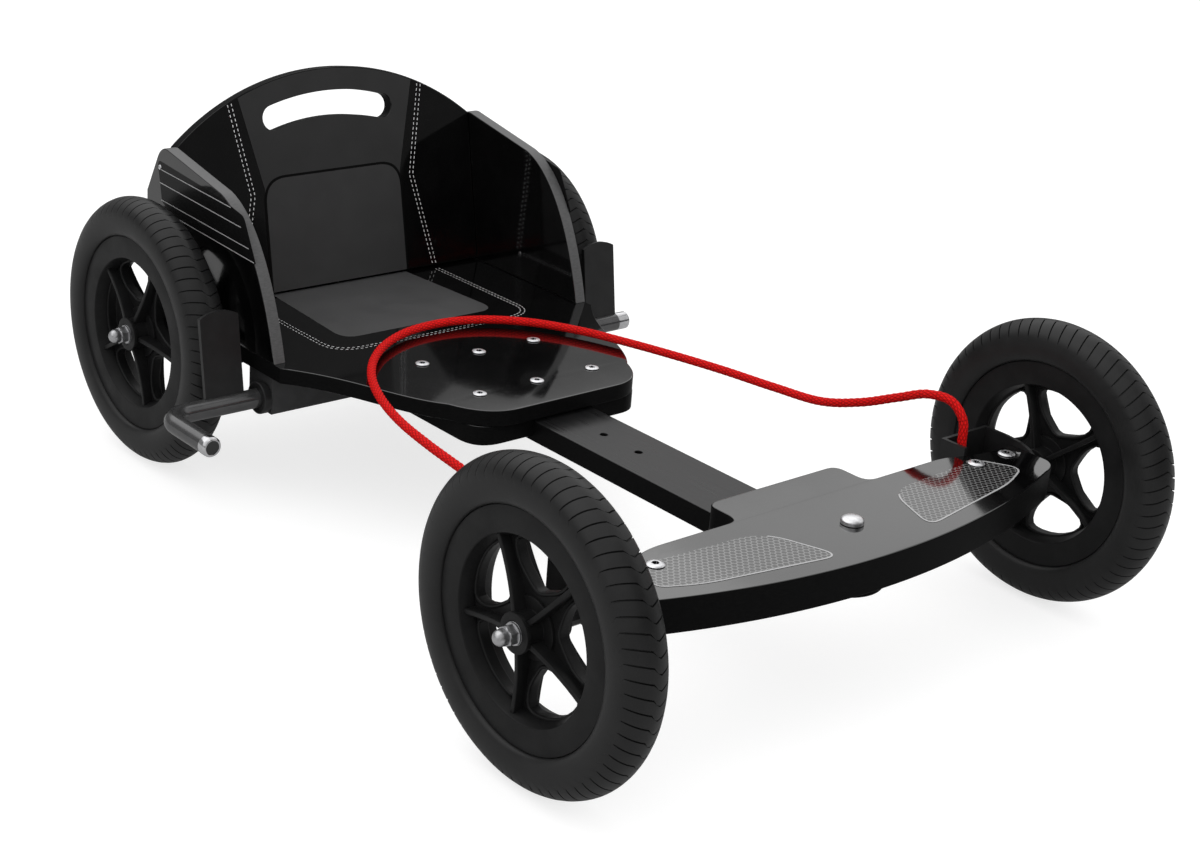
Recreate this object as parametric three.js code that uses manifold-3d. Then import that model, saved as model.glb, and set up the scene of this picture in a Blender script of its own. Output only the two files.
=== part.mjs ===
import * as THREE from "three";
import { mergeVertices } from "three/addons/utils/BufferGeometryUtils.js";
import Module from "manifold-3d";

// A soapbox car for a child. A board seat stands on a flat beam, a bow-shaped steering deck
// turns on a kingpin at the beam's front, and one hand brake presses on both rear wheels.
// Millimetres, +Z up, the car faces -Y, and its wheels stand on z = 0. Left and right are
// those of someone who looks at the car's front.

const wasm = await Module();
wasm.setup();

// Overall sizes
const wheelbase = 810;
const frontTrack = 706;
const rearTrack = 546;
const tyreRadius = 155;
const fit = 0.3;
const overrun = 5;
const roundSegments = 22;
const smallSegments = 12;
const boltSegments = 8;
const curveSteps = 5;
const barSteps = 8;

// Wheels: a tyre on a moulded five-spoke rim, with a plain bush in the hub
const tyreWidth = 50;
const rimRadius = 112;
const rimFaceWidth = 38;
const seatRadius = 106;
const faceOpening = 87;
const windowRadius = 82;
const webWidth = 8;
const webBorder = 12;
const spokeCount = 5;
const ribWidth = 5;
const ribRoot = 15;
const hubRadius = 17.5;
const hubCollarRadius = 19;
const hubCollarWidth = 4;
const hubInnerEnd = 25;
const hubOuterEnd = 26;
const hubDiscRadius = 29;
const hubDiscWidth = 14;
const bushRadius = 11;
const axleRadius = 5;
const wheelPhases = { front_left: 24, front_right: 68, rear_left: 6, rear_right: 20 };

// Axle bolts and dome nuts
const axleHeadRadius = 7;
const axleHeadWidth = 7;
const nutFlangeRadius = 10.5;
const nutFlangeWidth = 1.6;
const nutHexRadius = 10;
const nutHexWidth = 8;
const nutDomeRadius = 7.8;
const nutDomeNeck = 4;
const nutWall = 2;

// Beam and kingpin
const beamWidth = 83;
const beamThickness = 24;
const beamBottom = 121;
const beamNoseSetback = 5;
const kingpinReach = 38;
const kingpinRadius = 6;
const kingpinHeadRadius = 11.5;
const kingpinHeadHeight = 7;
const kingpinTail = 14;
const kingpinNutHeight = 9;
const kingpinNutRadius = 10.5;
const thrustWasherRadius = 22;
const deckGap = 2;
const beamHoleRadius = 4;
const beamHolePitch = 56;
const beamHoleCount = 2;
const beamHoleFromTongue = 61;

// Steering deck, places along Y from the front axle
const deckThickness = 35;
const deckBow = 105;
const deckBowRadius = 800;
const deckTail = 25;
const deckTailEnd = 10;
const deckEndFront = 34;
const frontHubGap = 54.5;
const deckEndWidth = frontTrack - frontHubGap * 2;
const shoulderInset = 28.5;
const taperInset = 83.5;
const tabWidth = 180;
const tabReach = 69;
const tabFillet = 14;
const deckBoltRadius = 3.2;
const deckBoltHead = 9;
const deckBoltHeadHeight = 2.4;
const deckBoltInset = 26.5;
const deckBoltPitch = 49;
const deckBoltOuter = deckEndWidth / 2 - deckBoltInset;
const deckBoltInner = deckBoltOuter - deckBoltPitch;
const deckBoltReach = 5;
const socketRadius = 3.2;
const socketDepth = 1.6;

// Folded steel axle brackets at the deck's ends
const sheet = 4;
const bracketInset = 90.5;
const boxInset = 67.5;
const bracketInner = deckEndWidth / 2 - bracketInset;
const boxInner = deckEndWidth / 2 - boxInset;
const bracketReach = 30;
const boxFront = 18;
const bracketRear = 50;
const bracketLip = 7;
const bossRadius = 10;

// Seat board, places along Y from the rear axle, heights from the ground
const boardTop = 167.4;
const boardThickness = 18;
const rearHubGap = 48;
const boardWidth = rearTrack - rearHubGap * 2;
const boardTail = 83;
const tongueReach = 430;
const tongueNose = 140;
const tongueWidth = 256;
const tongueCorner = 48;
const flareEnd = 205;

// Cross members under the seat board
const crossWall = 3;
const brakeCrossFront = 185;
const brakeCrossDepth = 46;
const brakeCrossHeight = 44;
const crossEndSetback = 3;
const rearCrossDepth = 40;
const rearCrossHeight = 44;
const rearPlateDepth = 60;
const rearPlateRise = 25;
const rearPlateFoot = 46;

// Lower block under the tongue, with the channel that holds the beam
const blockBottom = 127;
const blockWidth = 236;
const blockNoseInset = 8;
const blockFront = tongueReach - blockNoseInset;
const blockCrossGap = 40;
const blockRear = brakeCrossFront + blockCrossGap;
const blockCorner = 34;
const channelEndWall = 18;
const beamEnd = blockRear + channelEndWall;
const seatBoltSpread = 80;
const seatBoltInset = 55;
const seatBoltFront = tongueReach - seatBoltInset;
const seatBoltRearShare = 0.22;
const seatBoltRear = blockRear + (tongueReach - blockRear) * seatBoltRearShare;

// Side panels, heights from the board's top
const sideThickness = 15;
const sideFoot = 193;
const sideKinkSetback = 80;
const sideKinkHeight = 166;
const sideTopSetback = 52;
const sideTopHeight = 187;
const sideChamferHeight = 128;

// Seat back
const backThickness = 15;
const backAngle = THREE.MathUtils.degToRad(11);
const backSetback = 5;
const backSideHeight = 190;
const backTopHeight = 264;
const slotLength = 182;
const slotHeight = 30;
const slotTopDrop = 28;
const slotEndRadius = 14;

// Hand brake: a bar right across the car, bent into a handle on the left and cut short on
// the right, with a plate at each rear wheel that swings back against the tyre
const brakeBarRadius = 11;
const brakeSetback = 170;
const brakeHeight = 122;
const brakeDiaphragm = 100;
const brakeOutreach = 74;
const brakeReach = rearTrack / 2 + brakeOutreach;
const brakeBendRadius = 26;
const brakeHandleLength = 86;
const capLength = 12;
const capRound = 2;
const brakeEndLength = 18;
const bushFlangeRadius = 18.5;
const bushFlangeWidth = 10;
const bushWall = 3;
const plateWidth = 48;
const plateHeight = 106;
const plateArch = 6.5;
const plateThickness = 5;
const plateLean = THREE.MathUtils.degToRad(9);

// Steering rope, through the bracket boxes and round over the tongue
const ropeRadius = 5;
const ropeSides = 8;
const ropeSteps = 44;
const ropeHoleInset = 14;
const ropeHoleX = boxInner + ropeHoleInset;
const ropeHoleY = 33;
const ropeLift = 7.9;
const knotRadius = 13;
const knotSquash = 0.75;

// Worked out from the sizes above
const frontY = -wheelbase / 2;
const rearY = wheelbase / 2;
const beamTop = beamBottom + beamThickness;
const deckBottom = beamTop + deckGap;
const deckTop = deckBottom + deckThickness;
const boardBottom = boardTop - boardThickness;
const axleHeight = tyreRadius;
const bracketTop = deckTop + bracketLip;
const boxOuter = deckEndWidth / 2 + fit;
const bracketOuter = boxOuter + sheet;

// Finishes
const boardFinish = { color: 0x0b0b0c, roughness: 0.12, metalness: 0.0 };
const deckFinish = { color: 0x151516, roughness: 0.2, metalness: 0.0 };
const beamFinish = { color: 0x1b1b1c, roughness: 0.45, metalness: 0.4 };
const rubberFinish = { color: 0x1d1d1e, roughness: 0.85, metalness: 0.0 };
const rimFinish = { color: 0x1f1f20, roughness: 0.6, metalness: 0.0 };
const steelFinish = { color: 0x161617, roughness: 0.4, metalness: 0.5 };
const barFinish = { color: 0x2b2b2d, roughness: 0.35, metalness: 0.7 };
const chromeFinish = { color: 0xd6d8da, roughness: 0.15, metalness: 1.0 };
const bushFinish = { color: 0x8d8f92, roughness: 0.4, metalness: 0.6 };
const ropeFinish = { color: 0xc8100f, roughness: 0.7, metalness: 0.0 };

const car = new THREE.Group();

// Solids and placing

function solid(geometry, matrix) {
  const copy = geometry.clone();
  copy.deleteAttribute("normal");
  copy.deleteAttribute("uv");
  if (matrix) {
    copy.applyMatrix4(matrix);
  }
  const merged = mergeVertices(copy);
  const vertProperties = new Float32Array(merged.attributes.position.array);
  const triVerts = new Uint32Array(merged.index.array);
  return new wasm.Manifold(new wasm.Mesh({ numProp: 3, vertProperties, triVerts }));
}

function geometryOf(body) {
  const mesh = body.getMesh();
  const geometry = new THREE.BufferGeometry();
  geometry.setAttribute("position", new THREE.BufferAttribute(mesh.vertProperties, 3));
  geometry.setIndex(new THREE.BufferAttribute(mesh.triVerts, 1));
  geometry.computeVertexNormals();
  return geometry;
}

function mirrored(geometry) {
  const copy = geometry.index ? geometry.toNonIndexed() : geometry.clone();
  copy.applyMatrix4(new THREE.Matrix4().makeScale(-1, 1, 1));
  for (const attribute of Object.values(copy.attributes)) {
    for (let i = 0; i < attribute.count; i += 3) {
      for (let k = 0; k < attribute.itemSize; k += 1) {
        const held = attribute.getComponent(i + 1, k);
        attribute.setComponent(i + 1, k, attribute.getComponent(i + 2, k));
        attribute.setComponent(i + 2, k, held);
      }
    }
  }
  return copy;
}

function place(parent, name, geometry, finish, x = 0, y = 0, z = 0) {
  const mesh = new THREE.Mesh(geometry, new THREE.MeshStandardMaterial(finish));
  mesh.name = name;
  mesh.position.set(x, y, z);
  parent.add(mesh);
  return mesh;
}

// A right-hand piece and its mirror image
function placePair(name, geometry, finish, y = 0, z = 0) {
  place(car, `${name}_right`, geometry, finish, 0, y, z);
  place(car, `${name}_left`, mirrored(geometry), finish, 0, y, z);
}

// A revolve about Z of points given as radius and height, counter-clockwise
function turned(points, segments = smallSegments) {
  const profile = points.map(([r, h]) => new THREE.Vector2(r, h));
  const geometry = new THREE.LatheGeometry(profile, segments);
  geometry.rotateX(Math.PI / 2);
  return geometry;
}

// The same revolve laid along X
function turnedAlongX(points, segments = smallSegments) {
  return turned(points, segments).rotateY(Math.PI / 2);
}

function drill(radius, depth, segments = smallSegments) {
  return turned([[0, 0], [radius, 0], [radius, depth], [0, depth]], segments);
}

function at(x, y, z) {
  return new THREE.Matrix4().makeTranslation(x, y, z);
}

// A flat outline in X and Y, raised to a thickness
function slab(shape, thickness, steps = curveSteps) {
  return new THREE.ExtrudeGeometry(shape, { depth: thickness, bevelEnabled: false, curveSegments: steps });
}

// An outline drawn in Y and Z, thickened along X
function upright(shape, thickness, steps = curveSteps) {
  const turn = new THREE.Matrix4().makeBasis(
    new THREE.Vector3(0, 1, 0),
    new THREE.Vector3(0, 0, 1),
    new THREE.Vector3(1, 0, 0),
  );
  return slab(shape, thickness, steps).applyMatrix4(turn);
}

function block(x0, x1, y0, y1, z0, z1) {
  const geometry = new THREE.BoxGeometry(x1 - x0, y1 - y0, z1 - z0);
  return geometry.translate((x0 + x1) / 2, (y0 + y1) / 2, (z0 + z1) / 2);
}

// A hole whose flats, not its corners, stand at the radius
function circleHole(x, y, radius) {
  const corner = radius / Math.cos(Math.PI / boltSegments);
  const points = [];
  for (let i = 0; i < boltSegments; i += 1) {
    const angle = (i / boltSegments) * Math.PI * 2;
    points.push(new THREE.Vector2(x + corner * Math.cos(angle), y + corner * Math.sin(angle)));
  }
  return new THREE.Path(points);
}

// A line of points closed by its own mirror image in the Y axis
function symmetricShape(draw, reach) {
  const half = new THREE.Path();
  draw(half);
  const right = half.getPoints(curveSteps).filter((point) => point.x > reach);
  const left = right.map((point) => new THREE.Vector2(-point.x, point.y)).reverse();
  return new THREE.Shape([...right, ...left]);
}

// Wheel: tyre, rim and bush

function tyreGeometry() {
  const half = tyreWidth / 2;
  const bead = seatRadius + fit;
  const lip = rimRadius + fit;
  const rimHalf = rimFaceWidth / 2;
  const flangeIn = rimHalf - sheet;
  const wall = tyreRadius - lip;
  const sidewallShares = [[1.0, 0.1], [1.0, 0.42], [0.86, 0.75], [0.5, 0.94], [0, 1]];
  const side = sidewallShares.map(([across, up]) => [lip + wall * up, half * across]);
  const outer = [...side, ...side.slice(0, -1).reverse().map(([r, x]) => [r, -x])];
  const profile = [
    [bead, -flangeIn + fit],
    [lip, -flangeIn + fit],
    [lip, -rimHalf],
    ...outer.reverse(),
    [lip, rimHalf],
    [lip, flangeIn - fit],
    [bead, flangeIn - fit],
    [bead, -flangeIn + fit],
  ];
  return turnedAlongX(profile, roundSegments);
}

function rimRing() {
  const rimHalf = rimFaceWidth / 2;
  const flangeIn = rimHalf - sheet;
  const border = webBorder / 2;
  const profile = [
    [faceOpening, -rimHalf],
    [rimRadius, -rimHalf],
    [rimRadius, -flangeIn],
    [seatRadius, -flangeIn],
    [seatRadius, flangeIn],
    [rimRadius, flangeIn],
    [rimRadius, rimHalf],
    [faceOpening, rimHalf],
    [windowRadius, border],
    [windowRadius, -border],
    [faceOpening, -rimHalf],
  ];
  return turnedAlongX(profile, roundSegments);
}

function hubCore() {
  const waist = hubDiscWidth / 2;
  const profile = [
    [0, -hubInnerEnd],
    [hubRadius, -hubInnerEnd],
    [hubRadius, -waist],
    [hubDiscRadius, -waist],
    [hubDiscRadius, waist],
    [hubRadius, waist],
    [hubRadius, hubOuterEnd - hubCollarWidth],
    [hubCollarRadius, hubOuterEnd - hubCollarWidth],
    [hubCollarRadius, hubOuterEnd],
    [0, hubOuterEnd],
  ];
  return turnedAlongX(profile, smallSegments);
}

// Corners of one window, as shares of its radius and degrees from its own middle
const windowShares = [[0.47, 7], [0.56, 19], [0.7, 27], [0.9, 28.5], [0.96, 24], [0.978, 8]];

function windowHole(turn) {
  const polar = ([share, degrees], side) => {
    const angle = THREE.MathUtils.degToRad(degrees) * side + turn;
    const radius = windowRadius * share;
    return new THREE.Vector2(radius * Math.cos(angle), radius * Math.sin(angle));
  };
  const rising = windowShares.map((corner) => polar(corner, 1));
  const falling = windowShares.map((corner) => polar(corner, -1)).reverse();
  return new THREE.Path([...rising, ...falling]);
}

function spokeWeb() {
  const disc = roundSection((windowRadius + faceOpening) / 2, roundSegments);
  for (let i = 0; i < spokeCount; i += 1) {
    const turn = ((i + 0.5) / spokeCount) * Math.PI * 2;
    disc.holes.push(windowHole(turn));
  }
  return upright(disc, webWidth).translate(-webWidth / 2, 0, 0);
}

// The rib on a spoke's middle: deep at the hub, waisted, and deep again at the ring
function spokeRib() {
  const rimEnd = faceOpening - fit;
  const deepOuter = hubOuterEnd - hubCollarWidth;
  const deepInner = hubInnerEnd - hubCollarWidth;
  const ringDepth = rimFaceWidth / 2 - sheet;
  const waistShare = 0.62;
  const middle = (ribRoot + rimEnd) / 2;
  const shape = new THREE.Shape();
  shape.moveTo(ribRoot, -deepInner);
  shape.quadraticCurveTo(middle, -deepInner * waistShare, rimEnd, -ringDepth);
  shape.lineTo(rimEnd, ringDepth);
  shape.quadraticCurveTo(middle, deepOuter * waistShare, ribRoot, deepOuter);
  shape.closePath();
  const ribSteps = 1;
  const rib = slab(shape, ribWidth, ribSteps).translate(0, 0, -ribWidth / 2);
  const turn = new THREE.Matrix4().makeBasis(
    new THREE.Vector3(0, 1, 0),
    new THREE.Vector3(1, 0, 0),
    new THREE.Vector3(0, 0, -1),
  );
  return rib.applyMatrix4(turn);
}

function rimGeometry() {
  let body = solid(rimRing()).add(solid(hubCore())).add(solid(spokeWeb()));
  for (let i = 0; i < spokeCount; i += 1) {
    const turn = new THREE.Matrix4().makeRotationX((i / spokeCount) * Math.PI * 2);
    body = body.add(solid(spokeRib(), turn));
  }
  const length = hubInnerEnd + hubOuterEnd + overrun * 2;
  const bore = drill(bushRadius + fit, length).rotateY(Math.PI / 2);
  return geometryOf(body.subtract(solid(bore, at(-hubInnerEnd - overrun, 0, 0))));
}

function ringProfile(inner, outer, low, high) {
  return [[inner, low], [outer, low], [outer, high], [inner, high], [inner, low]];
}

const wheelParts = {
  tyre: [tyreGeometry(), rubberFinish],
  rim: [rimGeometry(), rimFinish],
  bush: [turnedAlongX(ringProfile(axleRadius + fit, bushRadius, -hubInnerEnd, hubOuterEnd)), bushFinish],
};

function addWheel(corner, x, y) {
  const wheel = new THREE.Group();
  wheel.position.set(x, y, axleHeight);
  const facing = new THREE.Group();
  facing.rotation.z = x < 0 ? Math.PI : 0;
  const spin = new THREE.Group();
  const outward = x < 0 ? -1 : 1;
  spin.rotation.x = THREE.MathUtils.degToRad(wheelPhases[corner]) * outward;
  facing.add(spin);
  wheel.add(facing);
  car.add(wheel);
  for (const [part, [geometry, finish]] of Object.entries(wheelParts)) {
    place(spin, `${corner}_${part}`, geometry, finish);
  }
}

addWheel("front_left", -frontTrack / 2, frontY);
addWheel("front_right", frontTrack / 2, frontY);
addWheel("rear_left", -rearTrack / 2, rearY);
addWheel("rear_right", rearTrack / 2, rearY);

// Axle bolt, whose thread runs into a dome nut outside the hub

function axleGeometry(headInner, wheelX) {
  const thread = hubOuterEnd + nutFlangeWidth + nutHexWidth;
  const end = wheelX + thread;
  const headOuter = headInner + axleHeadWidth;
  const profile = [
    [0, headInner],
    [axleHeadRadius, headInner],
    [axleHeadRadius, headOuter],
    [axleRadius, headOuter],
    [axleRadius, end],
    [0, end],
  ];
  return turnedAlongX(profile, boltSegments);
}

function domeNutGeometry() {
  const hexEnd = nutFlangeWidth + nutHexWidth;
  const neckEnd = hexEnd + nutDomeNeck;
  const flange = solid(drill(nutFlangeRadius, nutFlangeWidth, boltSegments));
  const hex = solid(new THREE.CylinderGeometry(nutHexRadius, nutHexRadius, nutHexWidth + fit, 6)
    .rotateX(Math.PI / 2), at(0, 0, hexEnd - (nutHexWidth + fit) / 2));
  const domeSteps = 3;
  const dome = [];
  for (let i = 0; i <= domeSteps; i += 1) {
    const angle = (i / domeSteps) * (Math.PI / 2);
    dome.push([nutDomeRadius * Math.cos(angle), neckEnd + nutDomeRadius * Math.sin(angle)]);
  }
  dome[domeSteps][0] = 0;
  const cap = solid(turned([[0, hexEnd - fit], [nutDomeRadius, hexEnd - fit], ...dome], boltSegments));
  const bore = solid(drill(axleRadius + fit * 2, hexEnd + nutWall + overrun, boltSegments), at(0, 0, -overrun));
  return geometryOf(flange.add(hex).add(cap).subtract(bore)).rotateY(Math.PI / 2);
}

const headPocketDepth = axleHeadWidth + fit * 2;
const frontHeadInner = deckEndWidth / 2 - axleHeadWidth;
const rearHeadInner = boardWidth / 2 - axleHeadWidth;
const domeNut = domeNutGeometry();

placePair("front_axle", axleGeometry(frontHeadInner, frontTrack / 2), steelFinish, frontY, axleHeight);
placePair("rear_axle", axleGeometry(rearHeadInner, rearTrack / 2), steelFinish, rearY, axleHeight);
placePair("front_nut", domeNut.clone().translate(frontTrack / 2 + hubOuterEnd + fit, 0, 0),
  chromeFinish, frontY, axleHeight);
placePair("rear_nut", domeNut.clone().translate(rearTrack / 2 + hubOuterEnd + fit, 0, 0),
  chromeFinish, rearY, axleHeight);

function headPocket(face, y) {
  const depth = headPocketDepth + overrun;
  const pocket = drill(axleHeadRadius + fit, depth, boltSegments).rotateY(Math.PI / 2);
  return solid(pocket, at(face - headPocketDepth, y, axleHeight));
}

function headPocketLeft(face, y) {
  const depth = headPocketDepth + overrun;
  const pocket = drill(axleHeadRadius + fit, depth, boltSegments).rotateY(-Math.PI / 2);
  return solid(pocket, at(-face + headPocketDepth, y, axleHeight));
}

// Flat beam with a round nose at the kingpin

const beamRear = rearY - beamEnd;
const kingpinY = frontY - kingpinReach;
const tongueFrontY = rearY - tongueReach;

function beamGeometry() {
  const half = beamWidth / 2;
  const corner = half / 6;
  const shape = new THREE.Shape();
  shape.absarc(0, kingpinY + beamNoseSetback, half, Math.PI, Math.PI * 2);
  shape.lineTo(half, beamRear - corner);
  shape.quadraticCurveTo(half, beamRear, half - corner, beamRear);
  shape.lineTo(corner - half, beamRear);
  shape.quadraticCurveTo(-half, beamRear, -half, beamRear - corner);
  shape.closePath();
  shape.holes.push(circleHole(0, kingpinY, kingpinRadius + fit));
  for (let i = 0; i < beamHoleCount; i += 1) {
    shape.holes.push(circleHole(0, tongueFrontY - beamHoleFromTongue - beamHolePitch * i, beamHoleRadius));
  }
  for (const setback of [seatBoltFront, seatBoltRear]) {
    shape.holes.push(circleHole(0, rearY - setback, deckBoltRadius + fit));
  }
  return slab(shape, beamThickness);
}

place(car, "main_beam", beamGeometry(), beamFinish, 0, 0, beamBottom);

// Kingpin, thrust washer and nut

function kingpinGeometry() {
  const head = [];
  const steps = 4;
  for (let i = 0; i <= steps; i += 1) {
    const angle = (i / steps) * (Math.PI / 2);
    head.push([kingpinHeadRadius * Math.cos(angle), kingpinHeadHeight * Math.sin(angle)]);
  }
  head[steps][0] = 0;
  const length = deckTop - beamBottom + kingpinTail;
  return turned([[0, -length], [kingpinRadius, -length], [kingpinRadius, fit], [kingpinHeadRadius, fit],
    ...head.map(([r, h]) => [r, h + fit * 2])]);
}

place(car, "kingpin", kingpinGeometry(), chromeFinish, 0, kingpinY, deckTop);
place(car, "kingpin_washer",
  turned(ringProfile(kingpinRadius + fit, thrustWasherRadius, fit, deckGap - fit)),
  bushFinish, 0, kingpinY, beamTop);

function kingpinNutGeometry() {
  const hex = new THREE.CylinderGeometry(kingpinNutRadius, kingpinNutRadius, kingpinNutHeight, 6);
  const body = solid(hex.rotateX(Math.PI / 2));
  const depth = kingpinNutHeight + overrun * 2;
  return geometryOf(body.subtract(solid(drill(kingpinRadius + fit, depth), at(0, 0, -depth / 2))));
}

place(car, "kingpin_nut", kingpinNutGeometry(), chromeFinish,
  0, kingpinY, beamBottom - fit - kingpinNutHeight / 2);

// Bow-shaped steering deck

function deckOutline() {
  return symmetricShape((path) => {
    const bow = (x) => Math.sqrt(deckBowRadius ** 2 - x ** 2) - deckBowRadius + deckBow;
    const bowSteps = 9;
    const shoulder = deckEndWidth / 2 - shoulderInset;
    const end = deckEndWidth / 2;
    const taper = end - taperInset;
    path.moveTo(0, -deckBow);
    for (let i = 1; i <= bowSteps; i += 1) {
      const x = (shoulder * i) / bowSteps;
      path.lineTo(x, -bow(x));
    }
    path.quadraticCurveTo(end, -bow(shoulder) + tabFillet / 2, end, -deckEndFront);
    path.lineTo(end, deckTailEnd);
    path.lineTo(shoulder, deckTailEnd);
    path.quadraticCurveTo((shoulder + taper) / 2, deckTailEnd, taper, deckTail - tabFillet / 4);
    path.lineTo(taper - tabFillet * 2, deckTail);
    path.lineTo(tabWidth / 2 + tabFillet, deckTail);
    path.quadraticCurveTo(tabWidth / 2, deckTail, tabWidth / 2, deckTail + tabFillet);
    path.lineTo(tabWidth / 2, tabReach - tabFillet);
    path.quadraticCurveTo(tabWidth / 2, tabReach, tabWidth / 2 - tabFillet, tabReach);
  }, 0);
}

const deckBoltPlaces = {
  deck_bolt_inner_right: deckBoltInner,
  deck_bolt_outer_right: deckBoltOuter,
  deck_bolt_inner_left: -deckBoltInner,
  deck_bolt_outer_left: -deckBoltOuter,
};

function deckGeometry() {
  const shape = deckOutline();
  shape.holes.push(circleHole(0, -kingpinReach, kingpinRadius + fit));
  for (const x of Object.values(deckBoltPlaces)) {
    shape.holes.push(circleHole(x, -deckBoltReach, deckBoltRadius + fit));
  }
  const deck = solid(slab(shape, deckThickness), at(0, frontY, deckBottom));
  const face = deckEndWidth / 2;
  return geometryOf(deck.subtract(headPocket(face, frontY)).subtract(headPocketLeft(face, frontY)));
}

place(car, "steering_deck", deckGeometry(), deckFinish);

// Countersunk-looking furniture bolts with a hex socket

function boltGeometry(length) {
  const rim = deckBoltHead * 0.75;
  const bolt = turned([[0, -length], [deckBoltRadius, -length], [deckBoltRadius, fit], [deckBoltHead, fit],
    [deckBoltHead, deckBoltHeadHeight / 2], [rim, deckBoltHeadHeight], [0, deckBoltHeadHeight]], boltSegments);
  const socket = new THREE.CylinderGeometry(socketRadius, socketRadius, socketDepth + overrun, 6);
  socket.rotateX(Math.PI / 2);
  const lift = deckBoltHeadHeight - socketDepth + (socketDepth + overrun) / 2;
  return geometryOf(solid(bolt).subtract(solid(socket, at(0, 0, lift))));
}

const deckBolt = boltGeometry(deckThickness + sheet);
for (const [name, x] of Object.entries(deckBoltPlaces)) {
  place(car, name, deckBolt, chromeFinish, x, frontY - deckBoltReach, deckTop);
}

// Folded bracket: foot under the deck's end, upright at the axle, open box behind for the rope

function frontBracketGeometry() {
  const footBottom = deckBottom - fit - sheet;
  const footTop = footBottom + sheet;
  const foot = new THREE.Shape();
  const corner = tabFillet / 2;
  foot.moveTo(bracketInner + corner, -bracketReach);
  foot.lineTo(bracketOuter, -bracketReach);
  foot.lineTo(bracketOuter, bracketRear);
  foot.lineTo(boxInner, bracketRear);
  foot.lineTo(boxInner, boxFront);
  foot.lineTo(bracketInner, boxFront - corner);
  foot.lineTo(bracketInner, corner - bracketReach);
  foot.closePath();
  for (const x of [deckBoltInner, deckBoltOuter]) {
    foot.holes.push(circleHole(x, -deckBoltReach, deckBoltRadius + fit));
  }
  foot.holes.push(circleHole(ropeHoleX, ropeHoleY, ropeRadius + fit));
  const upright0 = new THREE.Shape();
  upright0.moveTo(-bracketReach, footBottom);
  upright0.lineTo(bracketRear, footBottom);
  upright0.lineTo(bracketRear, bracketTop);
  upright0.lineTo(boxFront, bracketTop);
  upright0.quadraticCurveTo(-bracketReach, bracketTop, -bracketReach, axleHeight);
  upright0.closePath();
  const plate = solid(upright(upright0, sheet), at(boxOuter, 0, 0));
  const inner = block(boxInner, boxInner + sheet, boxFront, bracketRear, footBottom, bracketTop);
  const rear = block(boxInner, bracketOuter, bracketRear - sheet, bracketRear, footBottom, bracketTop);
  const bossEnd = frontTrack / 2 - hubInnerEnd - fit;
  const boss = drill(bossRadius, bossEnd - boxOuter).rotateY(Math.PI / 2);
  const bore = drill(axleRadius + fit, bossEnd - boxOuter + overrun * 2, boltSegments).rotateY(Math.PI / 2);
  return geometryOf(solid(slab(foot, footTop - footBottom), at(0, 0, footBottom))
    .add(plate)
    .add(solid(inner))
    .add(solid(rear))
    .add(solid(boss, at(boxOuter, 0, axleHeight)))
    .subtract(solid(bore, at(boxOuter - overrun, 0, axleHeight))));
}

placePair("front_bracket", frontBracketGeometry(), steelFinish, frontY);

// Seat board, wide under the sides and drawn in to a tongue at the front

function boardOutline() {
  return symmetricShape((path) => {
    const half = boardWidth / 2;
    const nose = tongueNose / 2;
    const neck = tongueWidth / 2;
    const flare = tongueReach - flareEnd;
    const cornerShare = 0.85;
    const neckShare = 0.42;
    const waistShare = 0.7;
    path.moveTo(0, -tongueReach);
    path.lineTo(nose, -tongueReach);
    path.quadraticCurveTo(neck * cornerShare, -tongueReach, neck, tongueCorner - tongueReach);
    path.bezierCurveTo(
      neck + (half - neck) * neckShare, -tongueReach + flare * neckShare,
      neck + (half - neck) * neckShare, -tongueReach + flare * waistShare,
      half, -flareEnd,
    );
    path.lineTo(half, boardTail);
  }, 0);
}

const seatBoltPlaces = [];
for (const setback of [seatBoltFront, seatBoltRear]) {
  for (const x of [-seatBoltSpread, 0, seatBoltSpread]) {
    seatBoltPlaces.push([x, -setback]);
  }
}

function seatBoardGeometry() {
  const shape = boardOutline();
  for (const [x, y] of seatBoltPlaces) {
    shape.holes.push(circleHole(x, y, deckBoltRadius + fit));
  }
  const board = solid(slab(shape, boardThickness), at(0, rearY, boardBottom));
  const face = boardWidth / 2;
  return geometryOf(board.subtract(headPocket(face, rearY)).subtract(headPocketLeft(face, rearY)));
}

place(car, "seat_board", seatBoardGeometry(), boardFinish);

// Lower block: a horseshoe round the beam's rear end

function lowerBlockGeometry() {
  const half = blockWidth / 2;
  const channel = beamWidth / 2 + fit;
  const shape = new THREE.Shape();
  shape.moveTo(channel, -blockFront);
  shape.lineTo(half - blockCorner, -blockFront);
  shape.quadraticCurveTo(half, -blockFront, half, blockCorner - blockFront);
  shape.lineTo(half, -blockRear);
  shape.lineTo(-half, -blockRear);
  shape.lineTo(-half, blockCorner - blockFront);
  shape.quadraticCurveTo(-half, -blockFront, blockCorner - half, -blockFront);
  shape.lineTo(-channel, -blockFront);
  shape.lineTo(-channel, fit - beamEnd);
  shape.lineTo(channel, fit - beamEnd);
  shape.closePath();
  for (const [x, y] of seatBoltPlaces) {
    if (x !== 0) {
      shape.holes.push(circleHole(x, y, deckBoltRadius + fit));
    }
  }
  return slab(shape, boardBottom - fit - blockBottom);
}

place(car, "lower_block", lowerBlockGeometry(), boardFinish, 0, rearY, blockBottom);

const sideBolt = boltGeometry(boardTop - blockBottom);
const beamBolt = boltGeometry(boardTop - beamBottom);
seatBoltPlaces.forEach(([x, y], i) => {
  place(car, `seat_bolt_${i + 1}`, x === 0 ? beamBolt : sideBolt, chromeFinish, x, rearY + y, boardTop);
});

// Side panels, standing on the board's edges

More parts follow.
